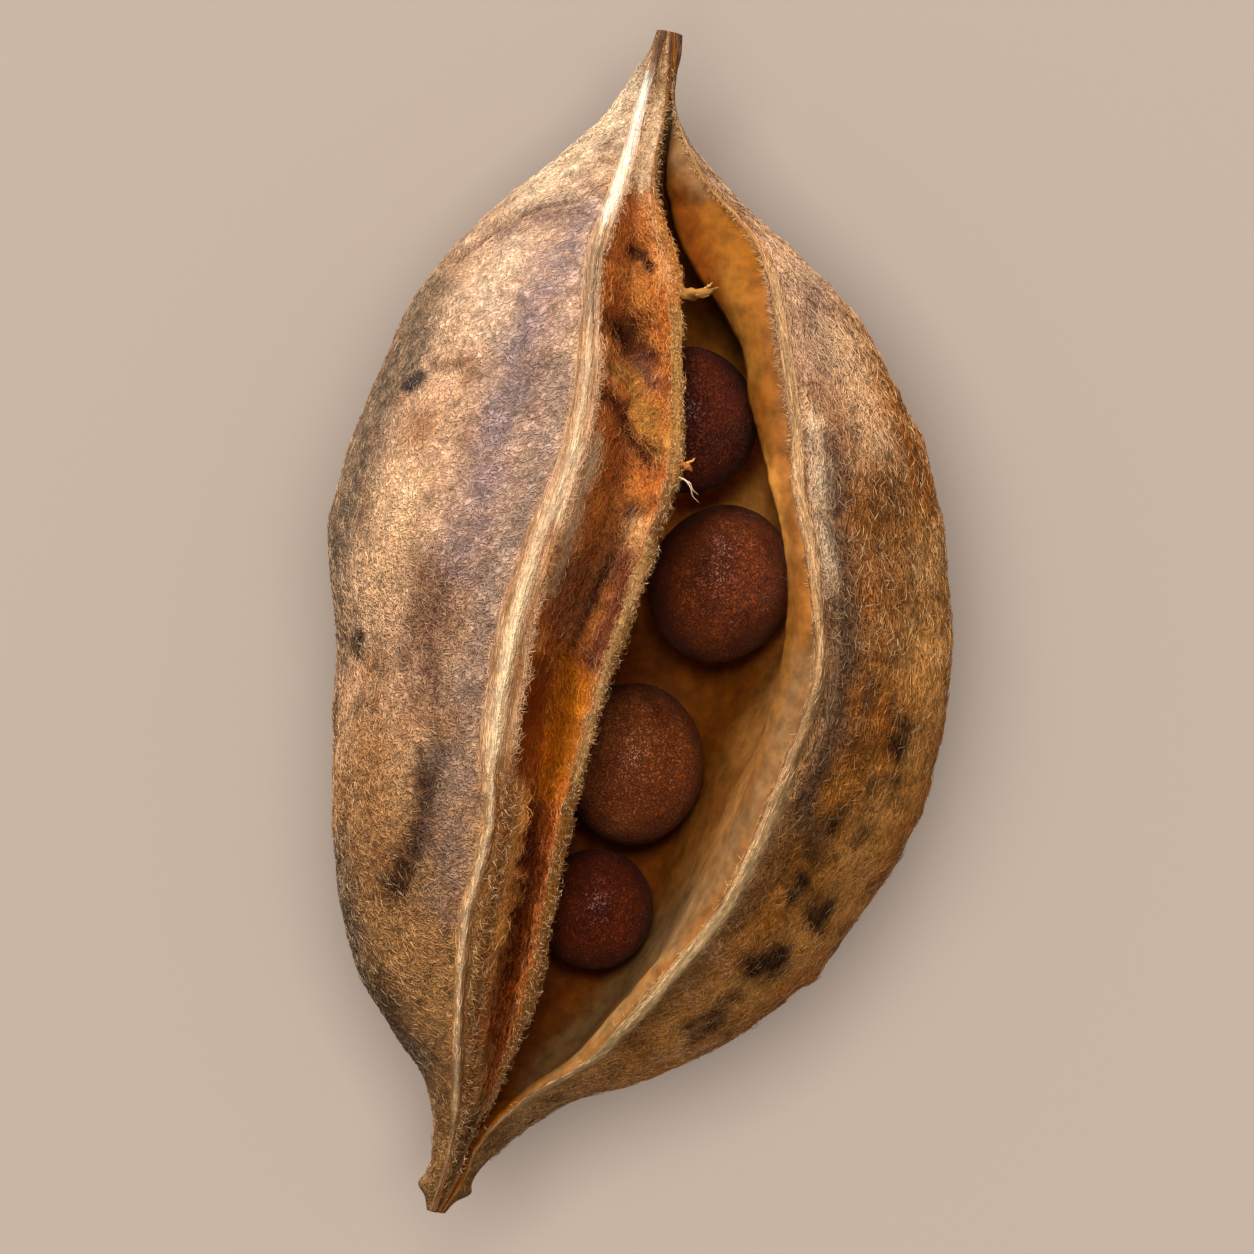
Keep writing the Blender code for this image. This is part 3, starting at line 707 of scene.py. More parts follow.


# Patches of colour of each zone, one to a row: colour, width, strength and, where they aren't the usual,
# wander and edge, then the points of its line as across,along. Later ones lie on earlier ones.
# Most are the husk's own discolourings; those of painted shade and painted light are named above their zone.
STAINS_AND_PAINTED_LIGHT = {
    # In the skin, 6A4A3A is painted shade: a dark line along the crease below the beak
    Zone.SKIN: """
    E6C09E 4.6 0.75 -9.5,25 -8,29
    A0827A 2.5 0.85 0.8 -3.4,33 -5,29 -6.4,20 -7.2,10 -8.2,3
    84706C 1.6 0.45 0.8 -6.6,22 -7,15
    EED2AE 3.8 0.85 -8,37.6 -3.5,44
    8E6C5E 0.9 0.8 0.5 -10.5,30.5 -7.8,32.4 -4.5,33.6
    6A4A3A 0.3 0.75 0.05 -13.6,27.5 -10.5,31.2 -7.5,33.4 -4.6,34.6
    E6BA8C 2.8 0.75 -13.8,8 -13.6,0
    76604C 2.1 0.85 -14.8,25 -17.6,14 -18.8,4 -17.6,-6
    6A5240 1.8 0.95 0.6 -14,-22 -10.5,-31 -4,-38
    9C8070 1.5 0.8 0.5 -2.8,20 -3.2,10 -5,2 -5.2,-7
    3C302E 0.75 0.9 0.3 4 -14.4,17.6 -14.9,16.7
    7A5238 0.6 0.7 0.3 -13.2,18.7 -10.4,19.3
    33251C 0.55 0.9 0.3 4 -15,-4.2 -15,-5.7
    7E543E 2.5 0.85 -10,1 -9,-6
    3E2A1E 1.5 0.9 0.9 -6.2,-12.4 -6.9,-14.6
    3E1E0C 1.5 0.95 0.9 -7,-15 -6.8,-19 -8.2,-23.5
    9A7A66 1.9 0.7 -4.2,-8 -4.4,-17 -3.6,-24
    5E4024 1.2 0.6 0.8 -9,-30 -5.5,-36
    B07C48 2.2 0.6 -12.4,-12 -11,-19
    A8681E 5 0.75 27,-10 22.5,-22 14,-34
    93715C 1.9 0.8 0.9 15.8,31 18.6,24
    5E4030 1.7 0.85 0.9 19.6,18 20.8,13 22.6,7 23.4,1
    E8BC8E 1.5 0.6 0.8 19.5,27 23.5,19
    583E2A 1.35 0.9 0.5 23.2,5 23.9,-3 23.2,-12
    CC9656 2.2 0.65 0.9 28.6,12 29.8,2
    6A421C 1.3 0.75 0.6 22.2,-13 20.8,-18 16.4,-26 12.5,-32
    3E2410 1.3 0.8 0.9 3 25.4,-12.4 24.8,-14.6
    D0924A 1.9 0.65 31.5,4 31.4,-6 28,-17 24,-24 17,-31.5
    4A280F 1.2 0.7 0.9 2.5 26.4,-4.8 26.8,-6.2
    4A280F 0.75 0.7 0.9 2.5 28.4,-7.8 28,-9.2
    4A280F 0.6 0.7 0.9 2.5 30.7,-7.4 30.3,-9
    4A280F 0.8 0.7 0.9 2.5 26.3,-10.4 25.9,-12
    4A280F 0.65 0.7 0.9 2.5 28.9,-12 28.3,-13.2
    4A280F 0.75 0.7 0.9 2.5 21.2,-27.2 20.4,-28
    3A1C0A 1.3 1 0.8 2.5 29.9,-3.6 29.6,-5
    3A1C0A 1.25 1 0.8 2.5 26.6,-18.6 26.1,-19.6
    3A1C0A 1 1 0.8 2.5 24,-18 24.6,-16.8
    3A1C0A 1.5 1 0.8 2.5 22,-24.6 23.4,-23.6
    3A1C0A 1.25 1 0.8 2.5 18.2,-30.6 19.6,-29.6
    7C4E26 2 0.7 24.6,16 27.4,10 27.6,3
    F0D0AA 0.8 0.75 0.4 17.7,20 19.8,12 21.5,7
    80592F 3.4 0.85 0.4 1,-50 1.2,-43
    7C5232 2.4 0.9 0.3 0.2,50 0.6,46""",
    Zone.RIM: """
    FFF0D8 0.42 0.95 0.15 -1,46 -1.1,40 -1.5,36 -1.9,33
    9A7A5E 1 0.7 0.3 -1.9,30 -1.6,25
    F8D6AC 0.4 0.8 0.2 -0.4,14 -0.9,8
    F4D2A4 0.5 0.75 0.15 -2.2,4 -2.7,-4 -2.2,-11
    B07840 1.2 0.8 0.3 4,39 8,36.2 11,32.5
    5C3A22 1.6 0.95 0.2 -0.4,50 0.2,46.8
    6E4826 2.2 0.85 0.3 1.2,-50 1.4,-43
    7E4410 0.7 0.85 0.2 -0.3,-11 -0.2,-20 0.3,-30 1.2,-40
    C4782E 1.3 0.9 0.4 2.4,34.5 4,31.5 5.2,28
    B8823E 0.9 0.9 0.4 5.6,26 6.7,20 7.5,14
    C89A5C 0.32 0.6 0.15 6.6,8 6.2,4 5.3,-2 4.7,-12
    E8C088 0.45 0.9 0.1 21.9,-9 18.7,-20 13.6,-29.5 10,-35
    9A7448 0.6 0.6 0.3 22.4,0 22,-9
    A88458 1.2 0.7 0.3 12.5,-31 9,-36 5,-40.5
    A07850 0.6 0.5 0.3 12.8,30 16.4,19.5
    8A5418 0.9 0.9 0.2 4.2,-16 4.2,-30 3,-37""",
    # In the lining, F0A048 is painted light on the deep wall between the first two seeds
    Zone.LINING: """
    F0A048 2.2 1 0 15.2,14 17,10
    8A5214 1.3 0.8 6.4,35.5 9,32.5 12,28
    7A5836 1.3 0.95 0.3 1.8,43 3.2,40 5.2,37.6
    9A6426 1.1 0.6 0.4 8.6,30.5 10.5,27.5 12.2,23.5
    6E340A 1.5 0.8 0.6 3.6,36 5.4,32 7.5,28.8
    947043 1.3 0.85 14.6,-23.5 9.9,-32 5.6,-38
    7A3C0A 2.3 0.5 5.8,-23 6.8,-30 4.4,-37
    84603A 1.3 0.9 0.3 20.9,2 20.4,-4 19.4,-10 17.6,-17 14.6,-23.5
    8A5426 1.5 0.85 0.3 13.4,29.5 14.4,24 16.4,17 19,9 20.8,3
    A86A28 0.8 0.6 0.4 19.6,12 20.2,4""",
    # In the furrow, 4E220C and 5E2A12 are painted shade in the two pits
    Zone.FURROW: """
    D9B48C 1.3 1 0.2 0.4,45 0.4,40 0.2,37
    B48A60 1.6 1 0.1 0.2,51 0.4,45.6
    6A4626 1.4 0.95 0.1 1,-50 1.6,-42 1.8,-40
    D88440 1.3 0.8 0.6 0,34 2,33 3.6,30.5
    F0B070 0.8 0.85 0.4 1.6,35.4 3.2,32.2 4.6,29
    CC8438 1.3 0.6 0.6 1.4,28.8 3,26.4
    F0CB9C 0.6 0.85 0.4 0.7,15 0.4,8 -0.3,2.5
    4E220C 0.55 1 0.5 3 0.4,31 1.6,30.8 2.7,30
    5E2A12 0.95 0.95 0.6 3 0.3,24.4 1.8,24 3.9,22.8
    6A3C30 0.8 0.85 0.4 3,22.2 4.6,20.4
    A87030 1 0.95 0.3 0.9,21.2 2.4,20.2 4.4,18 6.2,15
    5A2014 0.45 0.9 0.3 0.1,19 2.4,17.6 4.6,15.2 5.4,13.8
    47221C 1 0.85 0.5 5,10 4.9,8 4.3,5
    34120C 0.5 0.95 0.3 4.3,6.5 3.2,3.2 2.6,-0.5 2,-2.4
    8C4A2C 1.5 0.7 0.6 1,4.4 0.9,0.5
    F0B070 0.7 0.8 0.4 5.8,9 5.2,3 4.6,-3
    D8760E 1.8 0.95 0.15 2.9,-3.5 2.5,-9 2.7,-13.5
    763A1E 1.3 0.95 0.3 5.4,6 4.9,1 4.2,-2.4
    8E4408 0.9 0.95 0.2 -0.2,-3.5 -0.5,-9 0.2,-13.5
    E8A050 0.75 0.9 0.4 -0.2,-13.5 0.2,-20 0.2,-28
    8E3A06 0.7 1 0.4 1.6,-15.5 1.8,-22 1.6,-28
    B2500F 0.9 0.95 0.2 2.9,-15 3.2,-22 2.8,-30 2.6,-38
    D09048 0.9 0.9 0.3 1.2,-36 1.5,-40""",
}


@dataclass(frozen=True)
class HuskColours:
    """Colours of the husk by zone, as sRGB hex."""

    skin: str = "DCAE88"
    skin_mottle: str = "9C663C"
    skin_right: str = "A05C1A"
    skin_low: str = "AE7C48"
    skin_side_shade: str = "84644A"
    freckle: str = "4A2C18"
    rim: str = "C49670"
    rim_low: str = "C08C52"
    rim_streak: str = "96622F"
    rim_pale: str = "F0D0A6"
    cord: str = "D2A36E"
    rim_groove: str = "7A4A22"
    rim_inner: str = "7C4E1C"
    lining: str = "84500F"
    lining_mottle: str = "84440C"
    lining_low: str = "9C5610"
    lining_septum_shade: str = "8A440C"
    lining_painted_light: str = "FF9834"
    lining_shade: str = "4E2608"
    lining_floor: str = "7C3A0A"
    lining_wall: str = "BC7E3C"
    septum: str = "A87040"
    furrow: str = "CA7030"
    furrow_crest: str = "EE9C42"
    furrow_floor: str = "7C4020"

    def paint(self, surface: HuskSurface) -> Array:
        """Linear colour of every point of the husk, shaped like its grid.

        Args:
            surface: The husk's points and zones.

        Returns:
            Red, green and blue for each point.
        """
        flat = surface.flat
        drift = (*(layered_noise(flat, 2.6, seed) for seed in (74, 78)), layered_noise(flat, 1.1, 77))
        front = smooth_step(-5, -1, surface.z - WIDEST_HEIGHT)
        total = np.zeros(flat.shape)
        for zones, layers, reach in (
            ((Zone.SKIN, Zone.RIGHT_SKIN), self.felt(surface), front), ((Zone.RIM,), self.rims(surface), 1),
            ((Zone.LINING,), self.chamber(surface), 1), ((Zone.FURROW,), self.matted(surface), 1),
        ):
            for mark in map(ColourPatch.read, STAINS_AND_PAINTED_LIGHT[zones[0]].strip().splitlines()):
                layers.append((mark.colour, mark.cover(surface.x, surface.y, drift) * reach))
            tint = np.zeros(flat.shape)
            for colour, share in layers:
                tint = tint + (linear(colour) - tint) * np.clip(share, 0, 1)[..., None]
            total += tint * surface.share_of(*zones)[..., None]
        return total

    def felt(self, surface: HuskSurface) -> Layers:
        """Felt: mottled tan, browner on the right and low down; painted shade darkens the right, the sides
        and the wrinkles.

        Args:
            surface: The husk's points, zones and stretches.

        Returns:
            Colours with the share that each place takes of them, from the lowest layer up.
        """
        flat, x, y, z = surface.flat, surface.x, surface.y, surface.z
        mottle = layered_noise(flat, 4.6, 71) + 0.8 * layered_noise(turned(flat, -14, (2.2, 1.0)), 1.5, 72)
        freckles = smooth_step(0.35, 0.65, noise(turned(flat, -14, (1.7, 1.0)), 1.2, 81))
        crowding = 0.25 + 0.5 * smooth_step(10, -6, y) + 0.45 * smooth_step(16, 22, x)
        return [
            (self.skin, 1),
            # Browner right valve: partly its own colour, partly painted shade on the side away from the light
            (self.skin_right, smooth_step(14, 24, x)),
            (self.skin_low, smooth_step(2, -26, y) * smooth_step(18, 8, x)),
            (self.skin_mottle, 0.22 + (0.9 + 0.4 * smooth_step(12, 20, x)) * mottle),
            # Painted shade: greyer and darker down the sides, where the skin turns from the light
            (self.skin_side_shade, (0.65 - 0.35 * smooth_step(10, 20, x)) * smooth_step(25, 16, z)),
            # Painted shade in the valleys of the wrinkles below the beak
            (self.rim_inner, 0.8 * (z > WIDEST_HEIGHT) * surface.beak_folds()),
            (self.freckle, 0.7 * freckles * crowding),
        ]

    def rims(self, surface: HuskSurface) -> Layers:
        """Straw: painted shade in the left rim's groove, dark along the edges, with long streaks, duller low
        down.

        Args:
            surface: The husk's points, zones and stretches.

        Returns:
            Colours with the share that each place takes of them, from the lowest layer up.
        """
        y, t, groove = surface.y, surface.t[None, :], SHAPE.rim_groove.at(surface.y[:, :1])
        left, right, septum = map(surface.on, (Stretch.LEFT_RIM, Stretch.RIGHT_RIM, Stretch.SEPTUM_EDGE))
        streaks = smooth_step(0.0, 0.7, noise(surface.lengthwise(), 0.34, 83))
        torn = smooth_step(-0.1, 0.7, noise(surface.lengthwise(), 0.3, 89))
        patches = smooth_step(-0.1, 0.45, noise(surface.flat, 2.4, 90))
        edges = bell(t, 0.16) + bell(t - 1, 0.2)
        return [
            (self.rim, 1),
            (self.rim_low, smooth_step(6, -34, y)),
            (self.rim_streak, 0.75 * streaks),
            (self.rim_pale, 0.6 * left * bell(t - 0.45 - 0.55 * groove, 0.13)),
            # Painted shade in the groove between the left rim's two ridges
            (self.rim_groove, 0.85 * left * bell(t - groove, 0.09) * smooth_step(6, 0, y)),
            (self.rim_inner, 0.8 * left * smooth_step(0.62, 0.5, t) * smooth_step(-9, -15, y)),
            (self.septum, 0.9 * septum),
            (self.rim_groove, septum * torn),
            (self.rim_inner, 0.75 * septum * patches),
            (self.cord, 0.8 * right * bell(t - 0.5, 0.4)),
            (self.rim_groove, 0.8 * right * edges * (0.45 + 0.55 * smooth_step(14, 4, y))),
        ]

    def chamber(self, surface: HuskSurface) -> Layers:
        """Lining: amber, with painted light in the deep upper part and painted shade under the septum and on
        the lip.

        Args:
            surface: The husk's points, zones and stretches.

        Returns:
            Colours with the share that each place takes of them, from the lowest layer up.
        """
        y, t = surface.y, surface.t[None, :]
        side = surface.on(Stretch.FLOOR_RIGHT) * smooth_step(0.6, 0.3, t)
        wall = surface.on(Stretch.WALL_RIGHT) + side
        floor = surface.on(Stretch.FLOOR_RIGHT, Stretch.FLOOR_LEFT) - side
        under = surface.on(Stretch.LIP) * smooth_step(0.35, 1.0, t)
        lit = smooth_step(25, 18, surface.z) * smooth_step(-3, 5, y) * smooth_step(29, 20, y)
        folds = layered_noise(turned(surface.flat, 4, (2.5, 1.0)), 2.2, 85)
        return [
            (self.lining, 1),
            (self.lining_low, 0.75 * smooth_step(0, -18, y)),
            # Painted shade on the chamber's left side, under the septum
            (self.lining_septum_shade, 0.6 * surface.on(Stretch.FLOOR_LEFT, Stretch.WALL_LEFT, Stretch.SEPTUM_FACE)),
            # Painted light: a bright amber over the deep upper chamber, which little light reaches
            (self.lining_painted_light, 0.85 * lit),
            (self.lining_floor, 0.62 * floor * smooth_step(6, 0, y)),
            (self.lining_wall, 0.6 * wall * smooth_step(2, -6, y)),
            # Painted shade on the inner part of the lip, in the upper chamber
            (self.lining_shade, 0.6 * under * smooth_step(8, 20, y)),
            (self.lining_mottle, 0.3 + 0.9 * folds),
        ]

    def matted(self, surface: HuskSurface) -> Layers:
        """Matted fibres: rust, orange on the lumps, dark at the furrow's floor.

        Args:
            surface: The husk's points, zones and stretches.

        Returns:
            Colours with the share that each place takes of them, from the lowest layer up.
        """
        lumps, t = layered_noise(surface.flat, 1.6, 87), surface.t[None, :]
        floor = bell(t - 1, 0.3) * surface.on(Stretch.FURROW_RIGHT)
        floor = floor + bell(t, 0.3) * surface.on(Stretch.FURROW_LEFT)
        return [(self.furrow, 1), (self.furrow_crest, 0.15 + 0.9 * lumps), (self.furrow_floor, 0.55 * floor)]


def add_node(tree: Tree, kind: str, inputs: dict | None = None, **settings) -> Socket:
    """Adds a shader node with its settings, input values and links.

    Args:
        tree: The material's node tree.
        kind: The node's type.
        inputs: Socket name or number, with a value or an output socket to link from.
        settings: Properties of the node.

    Returns:
        The node's first output, or nothing where it has none.
    """
    node = tree.nodes.new(kind)
    for key, value in settings.items():
        setattr(node, key, value)
    for key, value in (inputs or {}).items():
        if isinstance(value, Socket):
            tree.links.new(value, node.inputs[key])
        else:
            node.inputs[key].default_value = value
    return node.outputs[0] if node.outputs else None


def maths(tree: Tree, operation: str, *values: object) -> Socket:
    """Adds a maths node on one to three values."""
    return add_node(tree, "ShaderNodeMath", dict(enumerate(values)), operation=operation)


def ranged(tree: Tree, value: object, *ends: float, **settings) -> Socket:
    """Adds a node that maps one range on another: from low, from high, to low, to high."""
    names = ("From Min", "From Max", "To Min", "To Max")
    return add_node(tree, "ShaderNodeMapRange", {"Value": value, **dict(zip(names, ends))}, **settings)


def places_of(tree: Tree) -> Socket:
    """Adds the piece's own coordinates, in metres."""
    return add_node(tree, "ShaderNodeTexCoord").node.outputs["Object"]


def off_middle(tree: Tree, pattern: Socket) -> Socket:
    """How far a noise is from its middle value: 0 along curled lines."""
    return maths(tree, "ABSOLUTE", maths(tree, "SUBTRACT", pattern, 0.5))


def relief_inputs(tree: Tree, lightness: Socket, height: Socket, depth: float) -> dict[str, object]:
    """The shader's inputs for the piece's tint made lighter and darker, and for a bump.

    Args:
        tree: The material's node tree.
        lightness: What the tint is scaled by.
        height: Height of the bump.
        depth: Metres for a height of 1.

    Returns:
        The inputs by name.
    """
    tint = add_node(tree, "ShaderNodeVertexColor", layer_name="tint")
    shaded = add_node(tree, "ShaderNodeVectorMath", {0: tint, "Scale": lightness}, operation="SCALE")
    bump = add_node(tree, "ShaderNodeBump", {"Height": height, "Distance": depth, "Strength": 1.0})
    return {"Base Color": shaded, "Normal": bump}


@dataclass(frozen=True)
class Finish:
    """A plain finish in the piece's own tint."""

    name: str
    roughness: float
    specular: float

    def inputs(self, tree: Tree) -> dict[str, object]:
        """The shader's inputs beside roughness and shine."""
        return {"Base Color": add_node(tree, "ShaderNodeVertexColor", layer_name="tint")}

    def material(self) -> bpy.types.Material:
        """Builds the material.

        Returns:
            The material, with its one shader.
        """
        material = bpy.data.materials.new(self.name)
        material.use_nodes = True
        tree = material.node_tree
        tree.nodes.clear()
        shader = add_node(tree, "ShaderNodeBsdfPrincipled", {
            "Roughness": self.roughness, "Specular IOR Level": self.specular, **self.inputs(tree)})
        add_node(tree, "ShaderNodeOutputMaterial", {"Surface": shader})
        return material


@dataclass(frozen=True)
class PaperFinish(Finish):
    """Matt paper of one even colour."""

    colour: str

    def inputs(self, tree: Tree) -> dict[str, object]:
        """The shader's inputs: one colour."""
        return {"Base Color": (*linear(self.colour), 1)}


@dataclass(frozen=True)
class SurfaceFinish(Finish):
    """A plant surface: painted colour and a bump, both broken up by worms and strands.

    Worms are short curled ridges, strands long straight ones along the pod. Their sizes and
    depths are in millimetres. Both are drawn about twice as coarse as they grow, as finer
    ones would vanish between the picture's points. Shares say how much worms, strands and
    clouds each lighten the colour, from darkest to lightest.
    """

    worm_size: float
    worm_stretch: float
    worm_turn: float
    worm_depth: float
    strand_width: float
    strand_length: float
    strand_depth: float
    shares: tuple[float, float, float]
    darkest: float
    lightest: float
    glow: float = 0.0
    glow_reach: float = 1.0

    def inputs(self, tree: Tree) -> dict[str, object]:
        """The shader's inputs: shaded tint, relief, and light that seeps in a little way.

        Args:
            tree: The material's node tree.

        Returns:
            The inputs by name.
        """
        cloud, strands = self.clouds(tree), self.strands(tree)
        worms = maths(tree, "MULTIPLY", self.worms(tree), ranged(tree, cloud, 0, 1, 0.35, 1))
        total = maths(tree, "MULTIPLY", worms, self.shares[0])
        for pattern, share in ((strands, self.shares[1]), (cloud, self.shares[2])):
            total = maths(tree, "MULTIPLY_ADD", pattern, share, total)
        height = maths(tree, "MULTIPLY", worms, self.worm_depth)
        height = maths(tree, "MULTIPLY_ADD", strands, self.strand_depth, height)
        lightness = ranged(tree, total, 0, sum(self.shares), self.darkest, self.lightest)
        return relief_inputs(tree, lightness, height, MM) | {
            "Subsurface Weight": self.glow, "Subsurface Radius": (1.0, 0.4, 0.12),
            "Subsurface Scale": self.glow_reach * MM}

    def worms(self, tree: Tree) -> Socket:
        """Curled ridges: 1 where a twisted noise crosses its middle value, falling to 0.

        Args:
            tree: The material's node tree.

        Returns:
            The pattern's socket.
        """
        width = self.worm_size * MM
        laid = add_node(tree, "ShaderNodeMapping", {
            "Vector": places_of(tree), "Rotation": (0, 0, math.radians(-self.worm_turn)),
            "Scale": (width, width * self.worm_stretch, width)}, vector_type="TEXTURE")
        swirl = add_node(tree, "ShaderNodeTexNoise", {
            "Vector": laid, "Scale": 1.0, "Detail": 1.5, "Distortion": 1.0})
        return ranged(tree, off_middle(tree, swirl), 0, 0.13, 1, 0, interpolation_type="SMOOTHSTEP")

    def clouds(self, tree: Tree) -> Socket:
        """Soft cloudy patches a millimetre or two across, from 0 to 1.

        Args:
            tree: The material's node tree.

        Returns:
            The pattern's socket.
        """
        cloud = add_node(tree, "ShaderNodeTexNoise", {
            "Vector": places_of(tree), "Scale": 1 / (1.5 * MM), "Detail": 3.0, "Roughness": 0.65})
        return ranged(tree, cloud, 0.32, 0.68)

    def strands(self, tree: Tree) -> Socket:
        """Long ridges: noise on the lay map, drawn out along the pod, from 0 to 1.

        Args:
            tree: The material's node tree.

        Returns:
            The pattern's socket.
        """
        laid = add_node(tree, "ShaderNodeMapping", {
            "Vector": add_node(tree, "ShaderNodeUVMap", uv_map="lay"),
            "Scale": (1 / self.strand_width, 1 / self.strand_length, 1)})
        strand = add_node(tree, "ShaderNodeTexNoise", {
            "Vector": laid, "Scale": 1.0, "Detail": 2.0, "Distortion": 0.6}, noise_dimensions="2D")
        return ranged(tree, strand, 0.35, 0.7)


@dataclass(frozen=True)
class SeedCoatFinish(Finish):
    """Hard seed coat: dark red-brown, finely wrinkled like a fingertip, with a soft sheen."""

    wrinkle_size: float
    wrinkle_depth: float

    def inputs(self, tree: Tree) -> dict[str, object]:
        """The shader's inputs: one twisted noise for both shade and relief.

        Args:
            tree: The material's node tree.

        Returns:
            The inputs by name.
        """
        ridge = off_middle(tree, add_node(tree, "ShaderNodeTexNoise", {
            "Vector": places_of(tree), "Scale": 1 / (self.wrinkle_size * MM),
            "Detail": 1.0, "Distortion": 1.6}))
        lightness, height = ranged(tree, ridge, 0, 0.15, 0.6, 1.18), ranged(tree, ridge, 0, 0.12)
        return relief_inputs(tree, lightness, height, self.wrinkle_depth * MM)


# The husk's finishes in its zones' order. Each comment says what the finish gives the eye.
HUSK_FINISHES = (
    # A matt nap, curled and worn, on the left valve
    SurfaceFinish("felted_skin", 0.8, 0.1, 0.45, 1.8, 48, 0.28, 0.4, 0.9, 0.1, (1.1, 0.5, 1.1), 0.26, 1.68),
    # Long pale fibres side by side, like a split straw
    SurfaceFinish("straw_rim", 0.75, 0.15, 0.5, 1.4, 0, 0.08, 0.16, 3.5, 0.13, (0.6, 1.0, 0.6), 0.5, 1.3),
    # Smooth thin membrane with light seeping through it
    SurfaceFinish("papery_lining", 0.65, 0.05, 2.4, 2.0, 0, 0.0, 1.6, 7.0, 0.02, (0.0, 0.15, 1.0), 0.6, 1.25,
                  0.35, 1.2),
    # Loose rusty lumps of fibre, dark between them
    SurfaceFinish("matted_fibre", 0.8, 0.06, 0.42, 1.4, 20, 0.24, 0.3, 1.0, 0.14, (1.0, 1.0, 0.8), 0.35, 1.5,
                  0.2),
    # Longer brown hairs, combed one way, on the right valve
    SurfaceFinish("hairy_skin", 0.8, 0.06, 0.5, 2.8, -16, 0.3, 0.35, 1.6, 0.12, (1.0, 0.7, 1.2), 0.22, 1.65),
)


def mesh_piece(
    name: str, places: Array, triangles: Array, tint: Array, materials: list[bpy.types.Material],
    slots: Array | None = None, lay: Array | None = None,
) -> bpy.types.Object:
    """Makes a piece from arrays and links it to the scene.

    Args:
        name: The piece's name.
        places: Its points in millimetres from the line through both tips.
        triangles: Three point numbers for each face.
        tint: Linear colour of each point.
        materials: Its materials in slot order.
        slots: Material slot of each face.
        lay: Place of every corner on the lay map.

    Returns:
        The new object, at the origin.
    """
    mesh = bpy.data.meshes.new(name)
    mesh.vertices.add(len(places))
    mesh.vertices.foreach_set("co", ((places - (MIDDLE_ACROSS, 0, 0)) * MM).ravel())
    mesh.loops.add(triangles.size)
    mesh.loops.foreach_set("vertex_index", triangles.ravel().astype(np.int32))
    mesh.polygons.add(len(triangles))
    mesh.polygons.foreach_set("loop_start", np.arange(0, triangles.size, 3, dtype=np.int32))
    if slots is not None:
        mesh.polygons.foreach_set("material_index", slots.astype(np.int32))
    mesh.update(calc_edges=True)
    mesh.validate()
    mesh.shade_smooth()
    colours = mesh.color_attributes.new(name="tint", type="FLOAT_COLOR", domain="POINT")
    colours.data.foreach_set("color", np.hstack([tint, np.ones((len(tint), 1))]).ravel())
    if lay is not None:
        mesh.uv_layers.new(name="lay").data.foreach_set("uv", lay.ravel())
    for material in materials:
        mesh.materials.append(material)
    piece = bpy.data.objects.new(name, mesh)
    bpy.context.scene.collection.objects.link(piece)
    LOG.info("%s: %d triangles", name, len(triangles))
    return piece


def tube_faces(rows: int, columns: int) -> Array:
    """Triangles of a grid that closes across its columns, with a fan over each end.

    Args:
        rows: Rings of the grid.
        columns: Points in each ring.

    Returns:
        Three point numbers for each face. The two end points follow those of the grid.
    """
    ring = np.arange(columns)
    after = np.roll(ring, -1)
    first = np.arange(rows - 1)[:, None] * columns
    a, b, c, d = (part.ravel() for part in (
        first + ring, first + columns + ring, first + columns + after, first + after))
    near, last = np.full(columns, rows * columns), (rows - 1) * columns
    return np.concatenate([np.stack(corners, 1) for corners in (
        (a, b, c), (a, c, d), (near, ring, after), (near + 1, last + after, last + ring))])


class Husk:
    """The husk's visible surface, painted."""

    def __init__(self) -> None:
        """Works out the surface and paints it."""
        self.surface = HuskSurface()
        self.tint = HuskColours().paint(self.surface)

    def build(self) -> bpy.types.Object:
        """Closes the grid with a fan over each end and makes the piece.

        Returns:
            The piece.
        """
        points, tint = self.surface.points, self.tint
        rows, columns, _ = points.shape
        places = np.vstack([points.reshape(-1, 3), points[0].mean(0), points[-1].mean(0)])
        tints = np.vstack([tint.reshape(-1, 3), tint[0].mean(0), tint[-1].mean(0)])
        ends = np.full(2 * columns, Zone.SKIN.value)
        slots = np.concatenate([np.tile(self.surface.zone, 2 * (rows - 1)), ends])
        return mesh_piece("husk_surface", places, tube_faces(rows, columns), tints,
                          [finish.material() for finish in HUSK_FINISHES], slots, self.lay_map(rows, columns))

    def lay_map(self, rows: int, columns: int) -> Array:
        """Length across each stretch and along the pod, in millimetres, for each face's corners.

        Args:
            rows: Rows of the grid.
            columns: Points in each row.

        Returns:
            Two places for every corner of every face.
        """
        points = self.surface.flat
        step = np.linalg.norm(np.roll(points, -1, axis=1) - points, axis=-1)
        around = np.hstack([np.zeros((rows, 1)), np.cumsum(step, axis=1)])
        first = np.searchsorted(self.surface.stretch, self.surface.stretch)
        along = points[:, :1, 1] * np.ones((1, columns))
        near = np.stack([around[:, :-1] - around[:, first], along], axis=-1)
        far = np.stack([around[:, 1:] - around[:, first], along], axis=-1)
        a, b, c, d = (part.reshape(-1, 2) for part in (near[:-1], near[1:], far[1:], far[:-1]))
        sides = np.concatenate([np.stack([a, b, c], 1), np.stack([a, c, d], 1)])
        return np.concatenate([sides.reshape(-1, 2), np.zeros((6 * columns, 2))])


